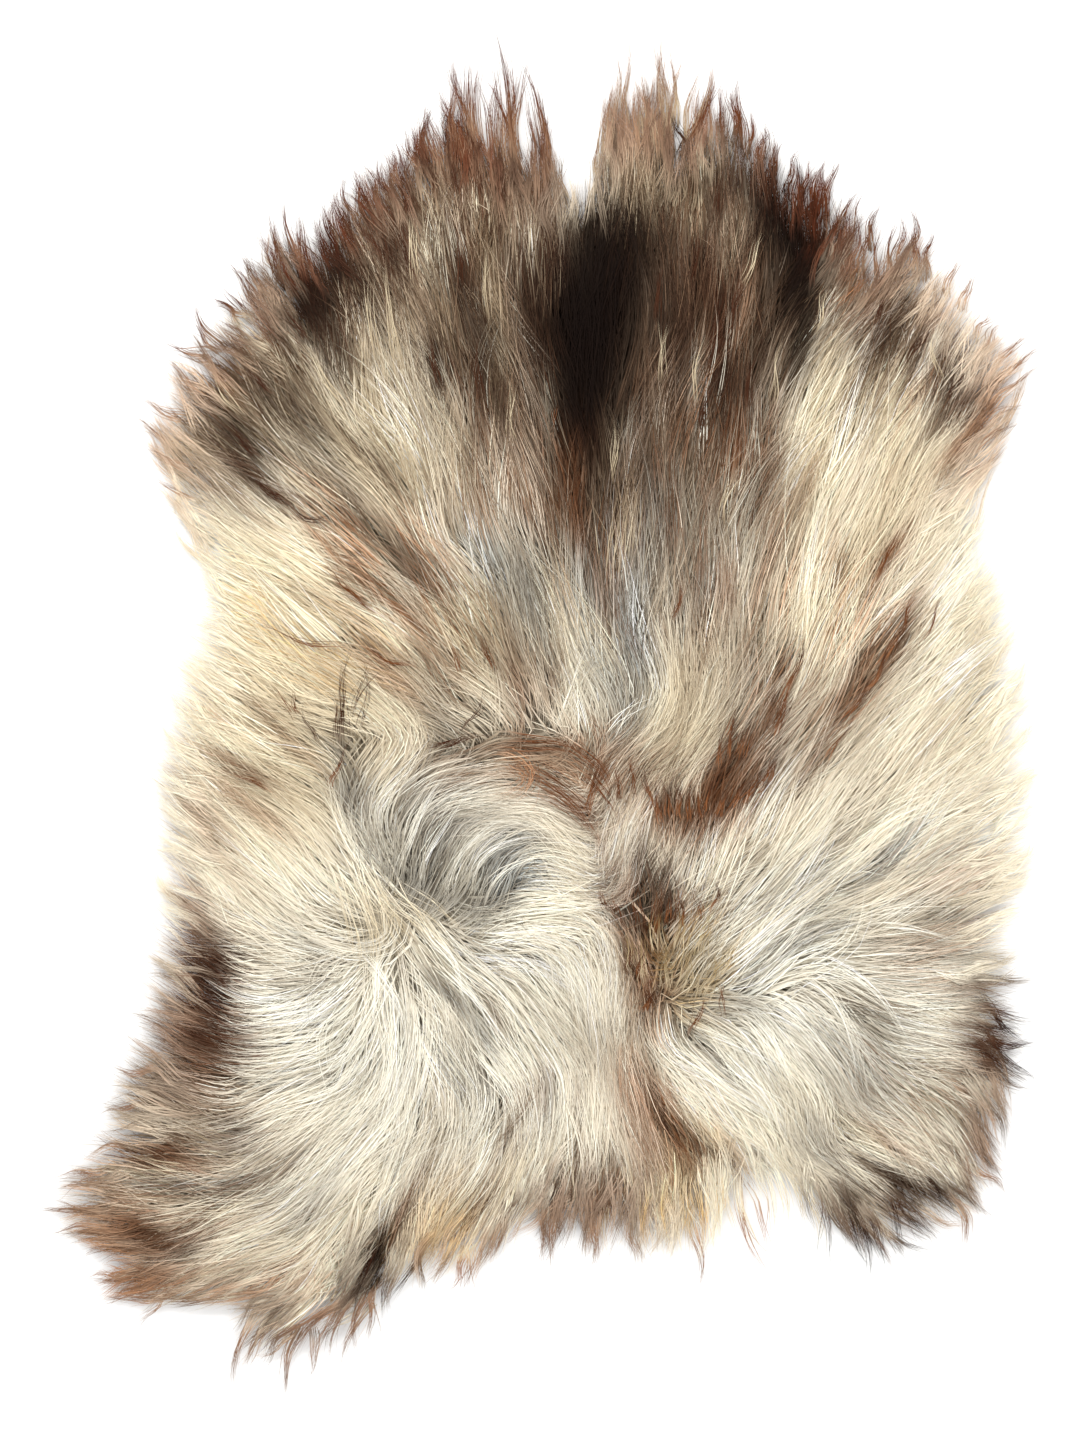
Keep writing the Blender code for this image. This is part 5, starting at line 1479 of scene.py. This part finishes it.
def placed(mesh: bpy.types.Mesh) -> bpy.types.Object:
    """An object of that mesh in the scene, at the origin."""
    made = bpy.data.objects.new(mesh.name, mesh)
    bpy.context.scene.collection.objects.link(made)
    return made


def slab(
    name: str, plan: RugPlan, pitch: float, inset: float, low: float, top: Callable[[Array], Array]
) -> bpy.types.Mesh:
    """A closed slab over the hide's outline, with a flat underside and a shaped top.

    Args:
        name: the mesh's name.
        plan: the rug's plan.
        pitch: the spacing of its points.
        inset: how far its edge lies inside the hide's edge.
        low: the height of its underside.
        top: gives the height of the top at places.

    Returns:
        The slab. Its points are an even grid of which the cells inside the outline are kept, and the points
        round them are moved on to the outline along the slope of the distance to it.
    """
    grid = np.stack(np.meshgrid(*(np.arange(-half, half, pitch) for half in plan.half)), axis=-1)
    middles = grid[:-1, :-1] + pitch / 2
    kept = plan.hide_depth.at(middles)[..., 0] > inset
    number = np.arange(grid.shape[0] * grid.shape[1]).reshape(grid.shape[:2])
    corners = np.stack([number[:-1, :-1], number[:-1, 1:], number[1:, 1:], number[1:, :-1]], axis=-1)[kept]
    used, faces = np.unique(corners, return_inverse=True)
    faces = faces.reshape(-1, 4)
    places = grid.reshape(-1, 2)[used]
    edges = np.stack([faces, np.roll(faces, -1, axis=1)], axis=-1).reshape(-1, 2)
    twins = {(b, a) for a, b in edges.tolist()}
    rim = np.array([e for e in edges.tolist() if tuple(e) not in twins])
    on_rim = np.unique(rim)
    inside = plan.hide_depth
    for _ in range(3):
        spots = places[on_rim]
        depth = inside.at(spots) - inset
        slope = [inside.at(spots + step) - inside.at(spots - step) for step in np.eye(2) * 2]
        places[on_rim] = spots - np.clip(depth, -pitch, pitch) * unit(np.concatenate(slope, axis=1))
    count = len(places)
    upper = np.column_stack([places, top(places)])
    lower = np.column_stack([places, np.full(count, low)])
    walls = np.column_stack([rim[:, 0] + count, rim[:, 1] + count, rim[:, 1], rim[:, 0]])
    all_faces = np.concatenate([faces, faces[:, ::-1] + count, walls])
    points = plan.metres(np.concatenate([upper, lower]))
    return mesh_of(name, points, all_faces.ravel(), np.full(len(all_faces), 4))


def add_node(
    tree: bpy.types.NodeTree,
    kind: str,
    settings: dict[str, object] | None = None,
    inputs: dict[str | int, object] | None = None,
) -> bpy.types.Node:
    """Adds a node with its settings and links.

    Args:
        tree: the material's nodes.
        kind: the node's type.
        settings: values of the node's own properties.
        inputs: for each input's name or number, a value, or another node's output to link from.

    Returns:
        The new node.
    """
    node = tree.nodes.new(kind)
    for name, value in (settings or {}).items():
        setattr(node, name, value)
    for name, value in (inputs or {}).items():
        if isinstance(value, bpy.types.NodeSocket):
            tree.links.new(value, node.inputs[name])
        else:
            node.inputs[name].default_value = value
    return node


def principled(name: str, roughness: float) -> tuple[bpy.types.Material, bpy.types.Node]:
    """A new material and its shader."""
    material = bpy.data.materials.new(name)
    material.use_nodes = True
    shader = material.node_tree.nodes["Principled BSDF"]
    shader.inputs["Roughness"].default_value = roughness
    return material, shader


def noise(tree: bpy.types.NodeTree, place: bpy.types.Node, size: float, detail: float) -> bpy.types.Node:
    """Adds a noise whose grains are so many millimetres large."""
    inputs = {"Vector": place.outputs["Object"], "Scale": 1 / (size * MM), "Detail": detail}
    return add_node(tree, "ShaderNodeTexNoise", inputs=inputs)


@dataclass(frozen=True)
class WoolFinish:
    """Washed, combed sheep's wool, undyed.

    Each fibre is a scaly, slightly waxy cylinder, so the eye sees a soft silky gleam along the locks and
    no mirror-like light.
    """

    name: str = "combed_wool"
    roughness: float = 0.65
    gloss: float = 0.05
    bend: float = 1.55
    grain: float = 6.0
    uneven: tuple[float, float] = (0.95, 1.05)

    def made(self) -> bpy.types.Material:
        """The material: the fibre's own colour, made uneven along each fibre by a fine noise."""
        material, shader = principled(self.name, self.roughness)
        tree = material.node_tree
        shader.inputs["IOR"].default_value = self.bend
        shader.inputs["Specular IOR Level"].default_value = self.gloss
        colour = add_node(tree, "ShaderNodeAttribute", {"attribute_name": COLOUR_LAYER})
        grain = noise(tree, add_node(tree, "ShaderNodeTexCoord"), self.grain, 2.0)
        low, high = self.uneven
        limits = {"From Min": 0.3, "From Max": 0.7, "To Min": low, "To Max": high}
        ramp = add_node(tree, "ShaderNodeMapRange", inputs={"Value": grain.outputs["Fac"], **limits})
        inputs = {0: colour.outputs["Color"], "Scale": ramp.outputs["Result"]}
        mixed = add_node(tree, "ShaderNodeVectorMath", {"operation": "SCALE"}, inputs)
        tree.links.new(mixed.outputs["Vector"], shader.inputs["Base Color"])
        return material


@dataclass(frozen=True)
class HideFinish:
    """Tanned sheep's hide, its flesh side sueded: a matt, short nap with faint cloudy patches."""

    name: str = "sueded_hide"
    light: str = "#e3d8c6"
    dark: str = "#cbbca4"
    roughness: float = 0.9
    sheen: float = 0.2
    cloud: float = 60.0
    nap: float = 1.0
    nap_depth: float = 0.3

    def made(self) -> bpy.types.Material:
        """The material: two shades in large soft clouds, and a fine nap as bump."""
        material, shader = principled(self.name, self.roughness)
        tree = material.node_tree
        shader.inputs["Sheen Weight"].default_value = self.sheen
        place = add_node(tree, "ShaderNodeTexCoord")
        cloud = noise(tree, place, self.cloud, 4.0)
        ramp = add_node(tree, "ShaderNodeValToRGB", inputs={"Fac": cloud.outputs["Fac"]})
        for stop, shade, at in zip(ramp.color_ramp.elements, (self.dark, self.light), (0.35, 0.65)):
            stop.color = (*linear(shade), 1.0)
            stop.position = at
        nap = noise(tree, place, self.nap, 3.0)
        inputs = {"Strength": 0.5, "Distance": self.nap_depth * MM, "Height": nap.outputs["Fac"]}
        bump = add_node(tree, "ShaderNodeBump", inputs=inputs)
        tree.links.new(ramp.outputs["Color"], shader.inputs["Base Color"])
        tree.links.new(bump.outputs["Normal"], shader.inputs["Normal"])
        return material


@dataclass
class Hide:
    """The tanned hide under the wool: one thin sheet that lies on the floor."""

    plan: RugPlan
    finish: HideFinish = field(default_factory=HideFinish)
    pitch: float = 12.0
    cockle: float = 0.2

    def made(self) -> bpy.types.Object:
        """The sheet, in the place of its solid, 2 mm thick with a faint cockle on its wool side."""
        mesh = slab("tanned_hide", self.plan, self.pitch, 0.0, 0.0, self.surface)
        mesh.materials.append(self.finish.made())
        return placed(mesh)

    def surface(self, places: Array) -> Array:
        """Height of the wool side: the thickness less the cockle, which is a product of two sines."""
        waves = np.sin(places[:, 0] / 31) * np.sin(places[:, 1] / 43)
        return self.plan.hide_thickness + self.cockle * waves - self.cockle


@dataclass
class WoolMat:
    """The dense wool next to the skin, which closes the gaps between the locks."""

    plan: RugPlan
    coat: Coat
    pitch: float = 8.0
    inset: float = 4.0
    gap: float = 0.3
    share: float = 0.40
    least: float = 3.0
    lump: float = 2.0
    # painted shade: the mat's colours are multiplied by this to darken them like the shade deep in the pile
    shade: float = 0.7

    def made(self) -> bpy.types.Object:
        """The mat, lumpy on top, in the colours of the wool and the undercoat, half of each, darkened by its
        shade factor as painted shade of the deep pile between the locks.
        """
        low = self.plan.hide_thickness + self.gap
        mesh = slab("wool_mat", self.plan, self.pitch, self.inset, low, self.surface)
        points = np.empty(len(mesh.vertices) * 3, np.float32)
        mesh.vertices.foreach_get("co", points)
        places = points.reshape(-1, 3)[:, :2] / MM - self.plan.shift
        # the mix is darkened by self.shade: painted shade for the deep gaps between the locks
        paint(mesh, (self.coat.outer.at(places) * 0.5 + self.coat.inner.at(places) * 0.5) * self.shade)
        return placed(mesh)

    def surface(self, places: Array) -> Array:
        """Height of the mat: a little over the hide and a share of the pile, with lumps."""
        lumps = np.sin(places[:, 0] / 9) * np.sin(places[:, 1] / 11 + places[:, 0] / 23)
        base = self.plan.hide_thickness + self.least
        return base + self.plan.crest(places) * self.share + self.lump * lumps


@dataclass
class Studio:
    """A pale floor, soft light and a camera that looks straight down."""

    plan: RugPlan
    photo: tuple[int, int] = (1080, 1440)
    mm_per_pixel: float = 0.8
    origin_pixel: tuple[float, float] = (542.0, 715.0)
    height: float = 6.0
    sensor: float = 36.0
    floor_half: float = 6.0
    floor_grey: float = 0.9
    warm_light: tuple[float, float, float] = (1.0, 0.975, 0.94)
    surround: float = 1.1

    def build(self) -> None:
        """Adds the floor, the lights and the camera."""
        self.add_floor()
        self.add_lights()
        self.add_camera()

    def add_floor(self) -> None:
        """A level floor, plain and pale."""
        corners = self.floor_half * np.array([[-1, -1, 0], [1, -1, 0], [1, 1, 0], [-1, 1, 0]])
        mesh = mesh_of("floor", corners, np.arange(4), np.array([4]))
        material, shader = principled("matt_floor", 0.9)
        shader.inputs["Base Color"].default_value = (*[self.floor_grey] * 3, 1)
        mesh.materials.append(material)
        placed(mesh)

    def add_lights(self) -> None:
        """A large soft light above the notched end, a weaker one opposite, and an even pale surround."""
        for name, place, size, power in (
            ("key", (-0.4, 1.7, 2.6), 1.8, 125.0),
            ("fill", (1.6, -1.4, 2.6), 2.4, 50.0),
        ):
            light = bpy.data.lights.new(name, "AREA")
            light.shape = "DISK"
            light.size = size
            light.energy = power
            light.color = self.warm_light
            lamp = bpy.data.objects.new(name, light)
            lamp.location = place
            x, y, z = place
            lamp.rotation_euler = (math.acos(z / np.linalg.norm(place)), 0, math.atan2(-x, y))
            bpy.context.scene.collection.objects.link(lamp)
        world = bpy.data.worlds.new("surround")
        world.use_nodes = True
        background = world.node_tree.nodes["Background"]
        background.inputs["Color"].default_value = (1, 1, 1, 1)
        background.inputs["Strength"].default_value = self.surround
        bpy.context.scene.world = world
        bpy.context.scene.view_settings.view_transform = "Standard"

    def add_camera(self) -> None:
        """A long lens straight above, framed as the photograph is."""
        camera = bpy.data.cameras.new("camera")
        high = self.photo[1] * self.mm_per_pixel * MM
        camera.sensor_width = self.sensor
        camera.lens = self.sensor * self.height / high
        across = (self.photo[0] / 2 - self.origin_pixel[0]) * self.mm_per_pixel + self.plan.shift[0]
        along = (self.origin_pixel[1] - self.photo[1] / 2) * self.mm_per_pixel + self.plan.shift[1]
        camera.clip_end = 50
        made = bpy.data.objects.new("camera", camera)
        made.location = (across * MM, along * MM, self.height)
        bpy.context.scene.collection.objects.link(made)
        bpy.context.scene.camera = made


def main() -> None:
    """Builds the studio and the rug, and reports each piece."""
    logging.basicConfig(level=logging.INFO, format="%(name)s: %(message)s")
    plan = RugPlan()
    Studio(plan).build()
    log.info("plan is shifted by %s mm", np.round(plan.shift, 2))

    hide = Hide(plan)
    sheet = hide.made()
    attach(sheet, "root")
    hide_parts("hide")

    wool = WoolFinish().made()
    coat = Coat(plan)
    mat = WoolMat(plan, coat).made()
    mat.data.materials.append(wool)
    pieces = [mat]

    fleece = Fleece(plan, coat)
    pick = np.random.default_rng(fleece.seed)
    locks = fleece.grown(pick)
    log.info("%d locks", len(locks.length))
    for kind in fleece.kinds:
        hairs = fleece.hairs(locks, kind, pick)
        if kind.layer is WoolLayer.GUARD:
            hairs = hairs.joined(fleece.placed_by_hand(pick)).joined(fleece.fringed(pick))
        faces = len(hairs.points) * (2 * kind.rings - 3)
        parts = math.ceil(faces / MOST_FACES)
        order = np.argsort(hairs.points[:, 0, 1])
        for number, chosen in enumerate(np.array_split(order, parts), 1):
            piece = hairs.part(chosen).made(f"{kind.layer.value}_{number}", plan)
            piece.data.materials.append(wool)
            pieces.append(piece)
            log.info("%s has %d hairs", piece.name, len(chosen))
    for piece in pieces:
        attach(piece, "root")
    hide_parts("fleece")


if __name__ == "__main__":
    main()
